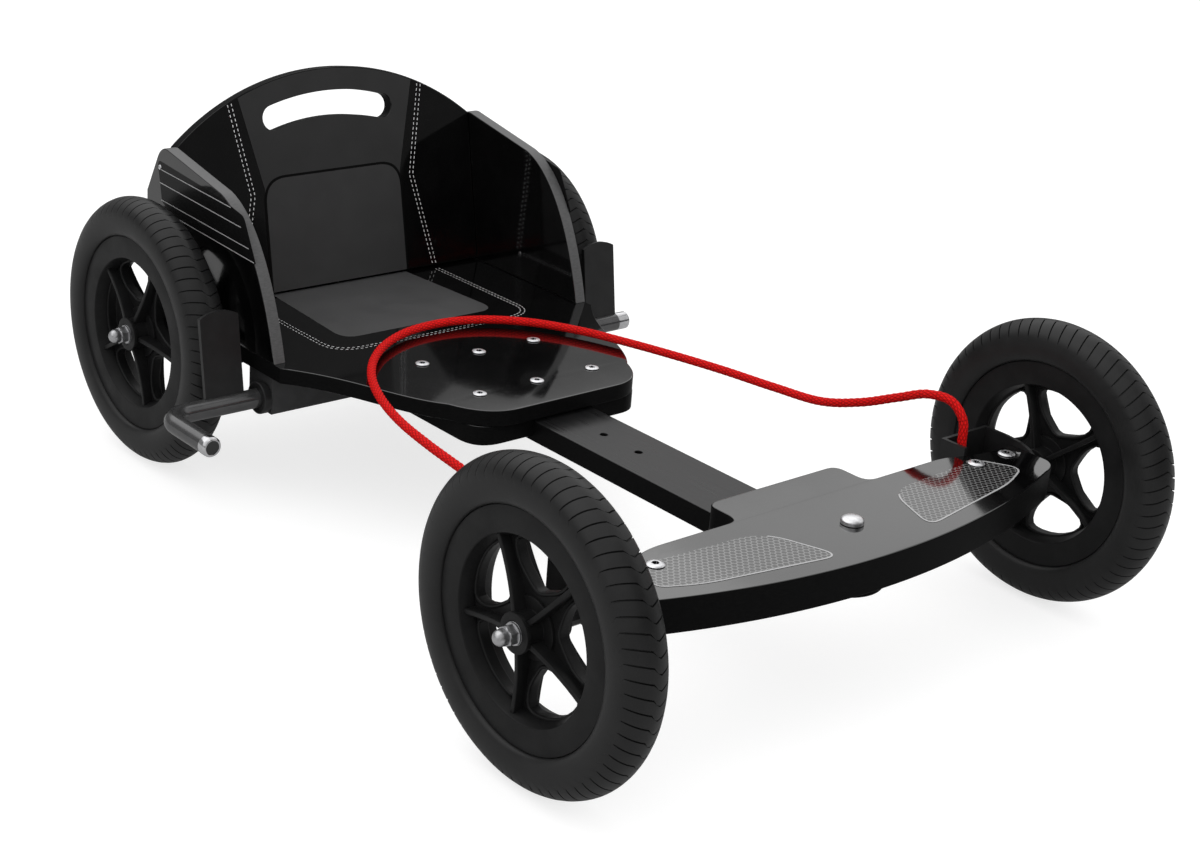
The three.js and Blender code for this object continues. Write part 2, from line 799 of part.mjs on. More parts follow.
function sidePanelGeometry() {
  const shape = new THREE.Shape();
  const bulgeShare = 0.9;
  const riseShare = 0.45;
  const round = sideThickness;
  shape.moveTo(-sideFoot, fit);
  shape.bezierCurveTo(
    -sideFoot * bulgeShare, sideKinkHeight * riseShare,
    -(sideFoot + sideKinkSetback) / 2, sideKinkHeight * bulgeShare,
    -sideKinkSetback, sideKinkHeight,
  );
  shape.lineTo(sideTopSetback - round, sideTopHeight);
  shape.quadraticCurveTo(sideTopSetback, sideTopHeight, sideTopSetback + round / 2, sideTopHeight - round);
  shape.lineTo(boardTail, sideChamferHeight);
  shape.lineTo(boardTail, fit);
  shape.closePath();
  return upright(shape, sideThickness).translate(boardWidth / 2 - sideThickness, 0, 0);
}

placePair("seat_side", sidePanelGeometry(), boardFinish, rearY, boardTop);

// Seat back with an arched top and a curved hand slot

function arcThrough(halfWidth, rise) {
  return (halfWidth ** 2 + rise ** 2) / (rise * 2);
}

function seatBackGeometry() {
  const half = boardWidth / 2 - sideThickness - fit;
  const rise = backTopHeight - backSideHeight;
  const radius = arcThrough(half, rise);
  const centre = backTopHeight - radius;
  const spread = Math.asin(half / radius);
  const shape = new THREE.Shape();
  shape.moveTo(-half, -backThickness);
  shape.lineTo(half, -backThickness);
  shape.lineTo(half, backSideHeight);
  shape.absarc(0, centre, radius, Math.PI / 2 - spread, Math.PI / 2 + spread);
  shape.closePath();
  const outer = radius - slotTopDrop;
  const inner = outer - slotHeight;
  const middle = (outer + inner) / 2;
  const reach = Math.asin((slotLength / 2 - slotEndRadius) / middle);
  const slot = new THREE.Path();
  slot.absarc(0, centre, outer, Math.PI / 2 - reach, Math.PI / 2 + reach);
  const left = Math.PI / 2 + reach;
  const right = Math.PI / 2 - reach;
  slot.absarc(middle * Math.cos(left), centre + middle * Math.sin(left), slotHeight / 2, left, left + Math.PI);
  slot.absarc(0, centre, inner, left, right, true);
  slot.absarc(middle * Math.cos(right), centre + middle * Math.sin(right), slotHeight / 2,
    right + Math.PI, right + Math.PI * 2);
  shape.holes.push(slot);
  const panel = slab(shape, backThickness);
  // The panel leans back, and its foot is cut level to stand on the board
  panel.rotateX(Math.PI / 2).translate(0, backThickness, 0);
  panel.rotateX(-backAngle).translate(0, backSetback, 0);
  const below = block(-boardWidth, boardWidth, -boardWidth, boardWidth, -boardWidth, fit);
  return geometryOf(solid(panel).subtract(solid(below)));
}

place(car, "seat_back", seatBackGeometry(), boardFinish, 0, rearY, boardTop);

// Cross member that carries both brake bars, open at its ends through the bush bores

function boxTube(halfLength, y0, y1, z0, z1) {
  const outer = solid(block(-halfLength, halfLength, y0, y1, z0, z1));
  const inner = solid(block(-halfLength - overrun, halfLength + overrun,
    y0 + crossWall, y1 - crossWall, z0 + crossWall, z1 - crossWall));
  return outer.subtract(inner);
}

const bushSleeveRadius = brakeBarRadius + fit + bushWall;

function brakeCrossGeometry() {
  const half = boardWidth / 2 - crossEndSetback;
  const z1 = boardBottom - fit;
  const z0 = z1 - brakeCrossHeight;
  const y0 = -brakeCrossFront;
  const y1 = y0 + brakeCrossDepth;
  let body = boxTube(half, y0, y1, z0, z1);
  for (const side of [-1, 1]) {
    const plates = [
      [side * half, side * (half - sheet), bushSleeveRadius + fit],
      [side * brakeDiaphragm, side * (brakeDiaphragm + sheet), brakeBarRadius + fit],
    ];
    for (const [a, b, radius] of plates) {
      const plate = solid(block(Math.min(a, b), Math.max(a, b), y0 + fit, y1 - fit, z0 + fit, z1 - fit));
      const bore = drill(radius, sheet + overrun * 2).rotateY(Math.PI / 2);
      body = body.add(plate).subtract(solid(bore, at(Math.min(a, b) - overrun, -brakeSetback, brakeHeight)));
    }
  }
  return geometryOf(body);
}

place(car, "brake_cross_member", brakeCrossGeometry(), steelFinish, 0, rearY);

function brakeBushGeometry() {
  const face = boardWidth / 2 - crossEndSetback + fit;
  const inner = brakeBarRadius + fit;
  return turnedAlongX([
    [inner, face - sheet - fit * 2],
    [bushSleeveRadius, face - sheet - fit * 2],
    [bushSleeveRadius, face],
    [bushFlangeRadius, face],
    [bushFlangeRadius, face + bushFlangeWidth],
    [inner, face + bushFlangeWidth],
    [inner, face - sheet - fit * 2],
  ]);
}

placePair("brake_bush", brakeBushGeometry(), steelFinish, rearY - brakeSetback, brakeHeight);

// Rear axle plates with a foot under the board, and the tube between them

const plateOuter = boardWidth / 2 + fit + sheet;
const rearPlateBottom = boardBottom - fit - sheet;

function rearPlateGeometry() {
  const y0 = -rearPlateDepth / 2;
  const y1 = rearPlateDepth / 2;
  const shape = new THREE.Shape();
  shape.moveTo(y0, rearPlateBottom);
  shape.lineTo(y1, rearPlateBottom);
  shape.lineTo(y1, axleHeight);
  shape.absarc(0, axleHeight, rearPlateRise, 0, Math.PI);
  shape.lineTo(y0, axleHeight);
  shape.closePath();
  const face = boardWidth / 2 + fit;
  const plate = solid(upright(shape, sheet), at(face, 0, 0));
  const foot = solid(block(boardWidth / 2 - rearPlateFoot, plateOuter - fit, y0, y1,
    rearPlateBottom, rearPlateBottom + sheet));
  const bossEnd = rearTrack / 2 - hubInnerEnd - fit;
  const boss = drill(bossRadius, bossEnd - face).rotateY(Math.PI / 2);
  const bore = drill(axleRadius + fit, bossEnd - face + overrun * 2, boltSegments).rotateY(Math.PI / 2);
  return geometryOf(plate.add(foot)
    .add(solid(boss, at(face, 0, axleHeight)))
    .subtract(solid(bore, at(face - overrun, 0, axleHeight)))
    .subtract(solid(drill(axleHeadRadius + fit, headPocketDepth, boltSegments).rotateY(Math.PI / 2),
      at(face - headPocketDepth, 0, axleHeight))));
}

placePair("rear_axle_plate", rearPlateGeometry(), steelFinish, rearY);

function rearCrossGeometry() {
  const half = boardWidth / 2 - sheet * 3;
  const z1 = rearPlateBottom - fit;
  return geometryOf(boxTube(half, -rearCrossDepth / 2, rearCrossDepth / 2, z1 - rearCrossHeight, z1));
}

place(car, "rear_cross_member", rearCrossGeometry(), steelFinish, 0, rearY);

// Brake bar, plate and end cap

class BentBar extends THREE.Curve {
  constructor(start, corner, end, radius) {
    super();
    const inDir = corner.clone().sub(start).normalize();
    const outDir = end.clone().sub(corner).normalize();
    const bendStart = corner.clone().addScaledVector(inDir, -radius);
    const bendEnd = corner.clone().addScaledVector(outDir, radius);
    const centre = bendStart.clone().addScaledVector(outDir, radius);
    Object.assign(this, { start, end, inDir, outDir, radius, bendStart, bendEnd, centre });
  }

  // One step for each straight and the rest for the bend
  getUtoTmapping(share) {
    return share;
  }

  getPoint(share) {
    const step = share * barSteps;
    if (step <= 1) {
      return this.start.clone().lerp(this.bendStart, step);
    }
    if (step >= barSteps - 1) {
      return this.bendEnd.clone().lerp(this.end, step - barSteps + 1);
    }
    const angle = ((step - 1) / (barSteps - 2)) * (Math.PI / 2);
    return this.centre.clone()
      .addScaledVector(this.outDir, -this.radius * Math.cos(angle))
      .addScaledVector(this.inDir, this.radius * Math.sin(angle));
  }
}

function roundSection(radius, sides) {
  const shape = new THREE.Shape();
  const points = [];
  for (let i = 0; i < sides; i += 1) {
    const angle = (i / sides) * Math.PI * 2;
    points.push(new THREE.Vector2(radius * Math.cos(angle), radius * Math.sin(angle)));
  }
  shape.setFromPoints(points);
  return shape;
}

function brakeBarGeometry() {
  const stub = rearTrack / 2 + plateWidth / 2;
  const curve = new BentBar(
    new THREE.Vector3(-stub, 0, 0),
    new THREE.Vector3(brakeReach, 0, 0),
    new THREE.Vector3(brakeReach, -brakeHandleLength, 0),
    brakeBendRadius,
  );
  const section = roundSection(brakeBarRadius, smallSegments);
  return mirrored(new THREE.ExtrudeGeometry(section, { steps: barSteps, extrudePath: curve }));
}

place(car, "brake_bar", brakeBarGeometry(), barFinish, 0, rearY - brakeSetback, brakeHeight);

function capProfile(radius, length) {
  return [[0, 0], [radius, 0], [radius, length - capRound], [radius - capRound, length], [0, length]];
}

const brakeCap = turned(capProfile(brakeBarRadius + fit, capLength)).rotateX(Math.PI / 2);
const brakeEnd = turnedAlongX(capProfile(brakeBarRadius, brakeEndLength));
place(car, "brake_cap", brakeCap, chromeFinish,
  -brakeReach, rearY - brakeSetback - brakeHandleLength - fit, brakeHeight);
place(car, "brake_end", brakeEnd, chromeFinish,
  rearTrack / 2 + plateWidth / 2 + fit, rearY - brakeSetback, brakeHeight);

function brakePlateGeometry() {
  const half = plateWidth / 2;
  const foot = brakeBarRadius / 2;
  const radius = arcThrough(half, plateArch);
  const spread = Math.asin(half / radius);
  const shape = new THREE.Shape();
  shape.moveTo(-half, foot);
  shape.lineTo(half, foot);
  shape.lineTo(half, plateHeight - plateArch);
  shape.absarc(0, plateHeight - radius, radius, Math.PI / 2 - spread, Math.PI / 2 + spread);
  shape.closePath();
  const plate = slab(shape, plateThickness).rotateX(Math.PI / 2).translate(0, plateThickness / 2, 0);
  plate.rotateX(-plateLean);
  const tube = drill(brakeBarRadius + fit, plateWidth + overrun * 2).rotateY(Math.PI / 2);
  const body = solid(plate).subtract(solid(tube, at(-half - overrun, 0, 0)));
  return geometryOf(body).translate(rearTrack / 2, 0, 0);
}

placePair("brake_plate", brakePlateGeometry(), steelFinish, rearY - brakeSetback, brakeHeight);

// Steering rope: up out of the right bracket box, back over the tongue and down into the left one

// Each point's shares of the hole's X, of the wheelbase behind the hole, and of the height on the tongue
const ropeTop = boardTop + ropeLift;
const ropeShares = [
  [1, 0, 0.81],
  [1, 0, 0.941],
  [0.996, 0, 1.084],
  [0.992, 0.002, 1.209],
  [0.98, 0.021, 1.301],
  [0.959, 0.056, 1.301],
  [0.931, 0.098, 1.221],
  [0.902, 0.151, 1.112],
  [0.873, 0.212, 1.027],
  [0.841, 0.293, 1.004],
  [0.792, 0.379, 1],
  [0.722, 0.459, 1],
  [0.649, 0.53, 1],
  [0.555, 0.601, 1],
  [0.42, 0.665, 1],
  [0.253, 0.707, 1],
  [0.073, 0.726, 1],
  [-0.139, 0.723, 1],
  [-0.335, 0.7, 1],
  [-0.514, 0.658, 1],
  [-0.665, 0.601, 1],
  [-0.784, 0.53, 1],
  [-0.865, 0.453, 1],
  [-0.914, 0.373, 1],
  [-0.951, 0.293, 1.004],
  [-0.992, 0.212, 1.01],
  [-1.02, 0.151, 1.067],
  [-1.033, 0.098, 1.141],
  [-1.029, 0.051, 1.209],
  [-1.012, 0.016, 1.204],
  [-1, 0.001, 1.095],
  [-1, 0, 0.941],
  [-1, 0, 0.81],
];

const ropeRoute = ropeShares.map(([across, back, up]) => (
  new THREE.Vector3(ropeHoleX * across, ropeHoleY + wheelbase * back, ropeTop * up)));
const ropeCurve = new THREE.CatmullRomCurve3(ropeRoute, false, "centripetal");
const ropeGeometry = new THREE.ExtrudeGeometry(roundSection(ropeRadius, ropeSides),
  { steps: ropeSteps, extrudePath: ropeCurve });
place(car, "steering_rope", ropeGeometry, ropeFinish, 0, frontY);

function knotGeometry() {
  const ball = new THREE.SphereGeometry(knotRadius, 10, 6).scale(1, 1, knotSquash);
  const depth = knotRadius;
  const trim = solid(drill(knotRadius * 2, depth), at(0, 0, knotRadius * knotSquash - 1));
  return geometryOf(solid(ball).subtract(trim));
}

placePair("rope_knot", knotGeometry().translate(ropeHoleX, 0, 0), ropeFinish,
  frontY + ropeHoleY, ropeRoute[0].z - fit - knotRadius * knotSquash + 1);

export default car;
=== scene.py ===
import math

import bmesh
import bpy
from mathutils import Matrix, Vector


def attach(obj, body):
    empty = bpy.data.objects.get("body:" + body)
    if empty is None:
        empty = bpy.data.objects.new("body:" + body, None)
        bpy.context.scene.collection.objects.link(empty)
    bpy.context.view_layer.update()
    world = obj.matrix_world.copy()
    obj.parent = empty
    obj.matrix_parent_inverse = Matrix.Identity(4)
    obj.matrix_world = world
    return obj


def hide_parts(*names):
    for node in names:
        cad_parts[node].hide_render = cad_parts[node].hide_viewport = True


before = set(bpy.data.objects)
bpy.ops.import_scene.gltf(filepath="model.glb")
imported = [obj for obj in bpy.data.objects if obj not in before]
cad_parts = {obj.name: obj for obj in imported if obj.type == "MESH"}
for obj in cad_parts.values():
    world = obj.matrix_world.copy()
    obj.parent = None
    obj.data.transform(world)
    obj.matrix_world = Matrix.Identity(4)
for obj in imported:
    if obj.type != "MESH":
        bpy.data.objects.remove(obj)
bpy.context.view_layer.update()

# Lengths and places are in millimetres until MM makes them metres
MM = 0.001
FRONT = -405.0
REAR = 405.0
WHEEL_RADIUS = 155.0
DECK_TOP = 182.0
DECK_BOARD = 35.0
BOARD_TOP = 167.4
SEAT_BOARD = 18.0
PANEL_BOARD = 15.0
PANEL_INNER = 210.0
PANEL_OUTER = PANEL_INNER + PANEL_BOARD
BLOCK_FOOT = 127.0
BLOCK_BOARD = 22.1
BEAM_FOOT = 121.0
BEAM_BOARD = 24.0
BOARD_EDGE = 1.4
KINGPIN_Y = FRONT - 38
KINGPIN_HOLE = 6.3
BOLT_HOLE = 3.5
BAR_Y = REAR - 170
BAR_HEIGHT = 122.0
scene = bpy.context.scene

# Camera, from the fit to the photograph

right = Vector((0.75531275, -0.65099488, 0.07555338))
up = Vector((0.19086728, 0.32879634, 0.92491224))
ahead = Vector((0.62695481, 0.68417734, -0.37259769))
camera_data = bpy.data.cameras.new("camera")
camera_data.lens = 63.0
camera_data.sensor_width = 36.0
camera_data.clip_start = 0.05
camera_data.clip_end = 60.0
camera = bpy.data.objects.new("camera", camera_data)
turn = Matrix((right, up, -ahead)).transposed().to_4x4()
camera.matrix_world = Matrix.Translation((-1.4130, -1.6206, 0.9935)) @ turn
scene.collection.objects.link(camera)
scene.camera = camera


# Flat outlines, in millimetres

def quad(p0, c, p1, n):
    out = []
    for i in range(1, n + 1):
        t = i / n
        a, b, d = (1 - t) ** 2, 2 * t * (1 - t), t * t
        out.append((a * p0[0] + b * c[0] + d * p1[0], a * p0[1] + b * c[1] + d * p1[1]))
    return out


def bend(points, corner, end, n):
    """Adds a curve from the last point to end, with its tangents through corner."""
    points += quad(points[-1], corner, end, n)


def cubic(p0, c0, c1, p1, n):
    out = []
    for i in range(1, n + 1):
        t = i / n
        a, b = (1 - t) ** 3, 3 * t * (1 - t) ** 2
        c, d = 3 * t * t * (1 - t), t ** 3
        out.append(tuple(a * p0[k] + b * c0[k] + c * c1[k] + d * p1[k] for k in (0, 1)))
    return out


def arc(cx, cy, r, a0, a1, n=24):
    return [(cx + r * math.cos(a0 + (a1 - a0) * i / n), cy + r * math.sin(a0 + (a1 - a0) * i / n))
            for i in range(n + 1)]


def circle(cx, cy, r, n=32):
    return arc(cx, cy, r, 0, math.tau, n)[:-1]


def quarter_turn(steps):
    """The angles inside a quarter turn."""
    return [i * math.pi / (2 * steps) for i in range(1, steps)]


def both_halves(half):
    inner = [p for p in half if p[0] > 1e-6]
    return inner + [(-x, y) for x, y in reversed(inner)]


# Meshes

def smooth(obj):
    for polygon in obj.data.polygons:
        polygon.use_smooth = True


def weigh_normals(obj):
    modifier = obj.modifiers.new("normals", "WEIGHTED_NORMAL")
    modifier.keep_sharp = True
    modifier.weight = 100


def finish_mesh(obj, angle=32.0, weighted=True):
    """Smooth shading, sharp at edges of more than angle degrees."""
    smooth(obj)
    obj.data.set_sharp_from_angle(angle=math.radians(angle))
    if weighted:
        weigh_normals(obj)
    return obj


def new_object(name, mesh, materials=()):
    for made in materials:
        mesh.materials.append(made)
    obj = bpy.data.objects.new(name, mesh)
    scene.collection.objects.link(obj)
    return obj


def evaluated_mesh(obj):
    bpy.context.view_layer.update()
    return bpy.data.meshes.new_from_object(obj.evaluated_get(bpy.context.evaluated_depsgraph_get()))


def clean(mesh, merge=0.0, degenerate=0.0, turn_out=True):
    """Joins points closer than merge, drops edges shorter than degenerate and turns faces outward."""
    bm = bmesh.new()
    bm.from_mesh(mesh)
    if merge:
        bmesh.ops.remove_doubles(bm, verts=bm.verts, dist=merge)
    if degenerate:
        bmesh.ops.dissolve_degenerate(bm, edges=bm.edges, dist=degenerate)
    if turn_out:
        bmesh.ops.recalc_face_normals(bm, faces=bm.faces)
    bm.to_mesh(mesh)
    bm.free()


def mesh_from(name, verts, faces, materials=()):
    mesh = bpy.data.meshes.new(name)
    mesh.from_pydata([Vector(v) * MM for v in verts], [], faces)
    clean(mesh, merge=1e-7)
    return new_object(name, mesh, materials)


def grid_faces(columns, rows, closed=False, ring=True, first=0):
    """Faces between columns of points. ring joins the last column to the first, and closed joins
    the ends of each column."""
    out = []
    for i in range(columns if ring else columns - 1):
        a, b = first + i * rows, first + (i + 1) % columns * rows
        for k in range(rows if closed else rows - 1):
            m = (k + 1) % rows
            out.append((a + k, a + m, b + m, b + k))
    return out


def at(x, y, z):
    """A move to a place in millimetres."""
    return Matrix.Translation((x * MM, y * MM, z * MM))


def facing_x(x=0.0, y=0.0, z=0.0, sign=1):
    """From an outline's own plane to one in Y and Z that faces along X; in millimetres."""
    return Matrix(((0, 0, sign, x), (1, 0, 0, y), (0, 1, 0, z), (0, 0, 0, 1)))


def fit(piece, body, node=None):
    """Says what a piece rides on and the solid that it stands for, if any."""
    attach(piece, body)
    if node:
        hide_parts(node)


def board(name, outline, holes, z0, thickness, edge, place=None, materials=(), steps=2):
    """A flat outline raised from z0 with rounded edges; place is a matrix in millimetres."""
    curve = bpy.data.curves.new(name, "CURVE")
    curve.dimensions = "2D"
    curve.fill_mode = "BOTH"
    curve.extrude = (thickness / 2 - edge) * MM
    curve.bevel_depth = edge * MM
    curve.bevel_resolution = steps
    curve.offset = -edge * MM
    for ring in [outline, *holes]:
        spline = curve.splines.new("POLY")
        spline.points.add(len(ring) - 1)
        for point, (x, y) in zip(spline.points, ring):
            point.co = (x * MM, y * MM, 0, 1)
        spline.use_cyclic_u = True
    held = bpy.data.objects.new(name + ".curve", curve)
    scene.collection.objects.link(held)
    mesh = evaluated_mesh(held)
    bpy.data.objects.remove(held)
    bpy.data.curves.remove(curve)
    clean(mesh, merge=2e-6, degenerate=1e-7)
    mesh.transform(Matrix.Translation((0, 0, (z0 + thickness / 2) * MM)))
    if place is not None:
        scaled = place.copy()
        scaled.translation = place.translation * MM
        mesh.transform(scaled)
    mesh.name = name
    while mesh.materials:
        mesh.materials.pop()
    return new_object(name, mesh, materials)


def edge_material(obj, normal):
    """Faces that don't look along normal take the second material."""
    normal = Vector(normal).normalized()
    for polygon in obj.data.polygons:
        polygon.material_index = int(abs(polygon.normal.dot(normal)) < 0.6)


def turned(name, profile, sides, materials=(), closed=False, axis="X", reach=None):
    """A revolve of (radius, height) points along X or Z. reach(k, r, h, angle), if given, says the
    radius of point k at an angle."""
    verts = []
    for i in range(sides):
        a = math.tau * i / sides
        for k, (r, h) in enumerate(profile):
            q = reach(k, r, h, a) if reach else r
            u, v = q * math.cos(a), q * math.sin(a)
            verts.append((h, u, v) if axis == "X" else (u, v, h))
    return mesh_from(name, verts, grid_faces(sides, len(profile), closed), materials)


def lathe(name, profile, sides, materials=(), closed=False, axis="X"):
    """A plain revolve, with no edges of no length."""
    obj = turned(name, profile, sides, materials, closed, axis)
    clean(obj.data, degenerate=1e-7)
    return obj


def hexagon_cosine(angle):
    """The cosine of the angle from the middle of a hexagon's nearest side."""
    return math.cos((angle + math.pi / 6) % (math.pi / 3) - math.pi / 6)


def rounded(profile, radius, closed=False, steps=3):
    """Corners of a (radius, height) line eased by a small radius."""
    out = []
    n = len(profile)
    for i, p in enumerate(profile):
        if not closed and i in (0, n - 1):
            out.append(p)
            continue
        a, b = Vector(profile[i - 1]), Vector(profile[(i + 1) % n])
        q = Vector(p)
        r = min(radius, (a - q).length * 0.45, (b - q).length * 0.45)
        s, e = q + (a - q).normalized() * r, q + (b - q).normalized() * r
        out.append(tuple(s))
        out += quad(s, q, e, steps)
    return out


def sweep(name, points, radius, sides, materials=(), shape=None, first=Vector((0, 0, 1))):
    """A closed tube along points, in millimetres. shape(i, angle), if given, says the radius there
    and a value to keep."""
    points = [Vector(p) for p in points]
    verts, kept = [], []
    across = first
    n = len(points)
    for i, p in enumerate(points):
        along = (points[min(i + 1, n - 1)] - points[max(i - 1, 0)]).normalized()
        across = (across - along * across.dot(along)).normalized()
        side = along.cross(across)
        for k in range(sides):
            a = math.tau * k / sides
            r, value = shape(i, a) if shape else (radius, 0.0)
            verts.append(p + (across * math.cos(a) + side * math.sin(a)) * r)
            kept.append(value)
    faces = grid_faces(n, sides, True, False)
    faces.append(tuple(reversed(range(sides))))
    faces.append(tuple((n - 1) * sides + k for k in range(sides)))
    mesh = bpy.data.meshes.new(name)
    mesh.from_pydata([v * MM for v in verts], [], faces)
    if shape:
        # The kept value says how far each point dips between the strands; the cord's colour uses it for
        # painted shade.
        attribute = mesh.attributes.new("groove_shade", "FLOAT", "POINT")
        attribute.data.foreach_set("value", kept)
    clean(mesh)
    return new_object(name, mesh, materials)


def sideways(path, closed=False):
    """The direction to the left at each point of a line."""
    out = []
    n = len(path)
    for i in range(n):
        a = path[i - 1] if closed or i else path[0]
        b = path[(i + 1) % n] if closed or i < n - 1 else path[-1]
        along = (Vector(b) - Vector(a)).normalized()
        out.append(Vector((-along.y, along.x)))
    return out


def beside(path, gap, closed=False):
    """A line at a distance to the left of another; a clockwise outline grows."""
    return [Vector(q) + left * gap for q, left in zip(path, sideways(path, closed))]


def strip(name, paths, width, z0, thickness, place, materials=()):
    """Flat bars of one width along open lines of (x, y) points, from z0 up, moved by place."""
    verts, faces = [], []
    z1 = z0 + thickness
    for path in paths:
        base, n = len(verts), len(path)
        for q, left in zip(path, sideways(path)):
            half = left * width / 2
            q = Vector(q)
            for p, z in ((q + half, z0), (q + half, z1), (q - half, z1), (q - half, z0)):
                verts.append(place @ Vector((p.x, p.y, z)))
        faces += grid_faces(n, 4, True, False, base)
        faces.append(tuple(base + k for k in range(4)))
        faces.append(tuple(base + 4 * (n - 1) + k for k in (3, 2, 1, 0)))
    return mesh_from(name, verts, faces, materials)


def length_of(points):
    return sum((b - a).length for a, b in zip(points, points[1:]))


def resampled(path, step):
    """The same line with a point every step, in millimetres."""
    pts = [Vector(p) for p in path]
    total = length_of(pts)
    count = max(1, round(total / step))
    out, walked, k = [pts[0]], 0.0, 0
    for i in range(1, count):
        target = total * i / count
        while walked + (pts[k + 1] - pts[k]).length < target:
            walked += (pts[k + 1] - pts[k]).length
            k += 1
        out.append(pts[k].lerp(pts[k + 1], (target - walked) / (pts[k + 1] - pts[k]).length))
    return out + [pts[-1]]


def stitches(path, dash=3.5, pitch=6.0):
    """A line of dashes."""
    pts = resampled(path, pitch / 4)
    count = round(4 * dash / pitch)
    return [pts[i:i + count + 1] for i in range(0, len(pts) - count, 4)]


def eased(points, radius, steps=8):
    """A closed outline with its corners rounded; a corner may give its own radius as a third number."""
    out = []
    n = len(points)
    for i, p in enumerate(points):
        q = Vector(p[:2])
        a, b = Vector(points[i - 1][:2]), Vector(points[(i + 1) % n][:2])
        r = min(p[2] if len(p) > 2 else radius, (a - q).length * 0.48, (b - q).length * 0.48)
        start, end = q + (a - q).normalized() * r, q + (b - q).normalized() * r
        out.append(tuple(start))
        out += quad(start, q, end, steps)
    return out


def copy_of(obj, name, matrix):
    mesh = obj.data.copy()
    mesh.name = name
    mesh.transform(matrix)
    return new_object(name, mesh)


def mirrored(obj, name):
    """A copy on the other side of the middle plane."""
    copy = copy_of(obj, name, Matrix.Diagonal((-1, 1, 1, 1)))
    copy.data.flip_normals()
    if obj.modifiers:
        weigh_normals(copy)
    return copy


def union(base, others):
    """base joined with the others into one solid; the others are removed."""
    for other in others:
        modifier = base.modifiers.new("join", "BOOLEAN")
        modifier.operation = "UNION"
        modifier.solver = "EXACT"
        modifier.object = other
    mesh = evaluated_mesh(base)
    base.modifiers.clear()
    base.data = mesh
    for other in others:
        bpy.data.objects.remove(other)
    return base


# Materials

def material(name, color, roughness, metallic=0.0, **sockets):
    made = bpy.data.materials.new(name)
    made.use_nodes = True
    shader = made.node_tree.nodes["Principled BSDF"]
    shader.inputs["Base Color"].default_value = (*color, 1)
    shader.inputs["Roughness"].default_value = roughness
    shader.inputs["Metallic"].default_value = metallic
    for key, value in sockets.items():
        shader.inputs[key.replace("_", " ")].default_value = value
    return made


def grey(tone, blue=None):
    return tone, tone, tone if blue is None else blue


class Nodes:
    """Short names for the nodes of a material or a world."""

    def __init__(self, owner):
        self.tree = owner.node_tree
        self.shader = self.tree.nodes.get("Principled BSDF")

    def node(self, kind, **settings):
        made = self.tree.nodes.new(kind)
        for key, value in settings.items():
            setattr(made, key, value)
        return made

    def link(self, a, b):
        self.tree.links.new(a, b)

    def coords(self):
        return self.node("ShaderNodeTexCoord").outputs["Object"]

    def mapped(self, key, value):
        """Object coordinates with a scale or a rotation."""
        made = self.node("ShaderNodeMapping")
        self.link(self.coords(), made.inputs["Vector"])
        made.inputs[key].default_value = value
        return made.outputs["Vector"]

    def noise(self, scale, detail, stretch=None):
        made = self.node("ShaderNodeTexNoise")
        made.inputs["Scale"].default_value = scale
        made.inputs["Detail"].default_value = detail
        self.link(self.mapped("Scale", stretch) if stretch else self.coords(), made.inputs["Vector"])
        return made.outputs["Fac"]

    def ramp(self, value, low, high, out_low=0.0, out_high=1.0):
        made = self.node("ShaderNodeMapRange")
        made.inputs["From Min"].default_value = low
        made.inputs["From Max"].default_value = high
        made.inputs["To Min"].default_value = out_low
        made.inputs["To Max"].default_value = out_high
        self.link(value, made.inputs["Value"])
        return made.outputs["Result"]

    def math(self, operation, a, b):
        made = self.node("ShaderNodeMath", operation=operation)
        for socket, value in zip(made.inputs, (a, b)):
            if isinstance(value, (int, float)):
                socket.default_value = value
            else:
                self.link(value, socket)
        return made.outputs[0]

    def mix(self, share, a, b):
        made = self.node("ShaderNodeMix", data_type="RGBA")
        self.link(share, made.inputs["Factor"])
        colors = [socket for socket in made.inputs if socket.type == "RGBA"]
        for socket, value in zip(colors, (a, b)):
            if isinstance(value, tuple):
                socket.default_value = (*value, 1)
            else:
                self.link(value, socket)
        return [s for s in made.outputs if s.type == "RGBA"][0]

    def bump(self, height, distance, strength=1.0):
        made = self.node("ShaderNodeBump")
        made.inputs["Distance"].default_value = distance
        made.inputs["Strength"].default_value = strength
        self.link(height, made.inputs["Height"])
        self.link(made.outputs["Normal"], self.shader.inputs["Normal"])

    def color(self, value):
        self.link(value, self.shader.inputs["Base Color"])

    def rough(self, value):
        self.link(value, self.shader.inputs["Roughness"])


def finish(name, base, roughness, tones, roughs, relief=None, metallic=0.0, **sockets):
    """A finish that varies a little. tones is a noise, its range and two colours; roughs is a noise,
    its range and two roughnesses; relief is a noise, its height and its strength. A noise is a scale,
    a detail and maybe a stretch."""
    made = material(name, base, roughness, metallic, **sockets)
    n = Nodes(made)
    n.color(n.mix(n.ramp(n.noise(*tones[0]), *tones[1:3]), *tones[3:]))
    n.rough(n.ramp(n.noise(*roughs[0]), *roughs[1:]))
    if relief:
        n.bump(n.noise(*relief[0]), *relief[1:])
    return made


def gloss_board():
    made = material("gloss_film", grey(0.0018, 0.0019), 0.1, Specular_IOR_Level=0.8, Coat_Weight=0.5,
                    Coat_Roughness=0.06)
    n = Nodes(made)
    cloud = n.ramp(n.noise(9, 4), 0.35, 0.7, 0.05, 0.11)
    fine = n.ramp(n.noise(260, 2), 0.5, 0.8, 0.0, 0.04)
    n.rough(n.math("ADD", cloud, fine))
    n.color(n.mix(n.ramp(n.noise(40, 5), 0.4, 0.75), grey(0.0015, 0.0016), grey(0.0028, 0.0029)))
    n.bump(n.noise(28, 1), 0.00012, 0.22)
    return made


def board_edge(name, dark, light, specular):
    grain = (190, 4, (1, 1, 5))
    return finish(name, dark, 0.42, (grain, 0.35, 0.7, dark, light), (grain, 0.3, 0.8, 0.34, 0.5),
                  (grain, 0.0001, 0.25), Specular_IOR_Level=specular)


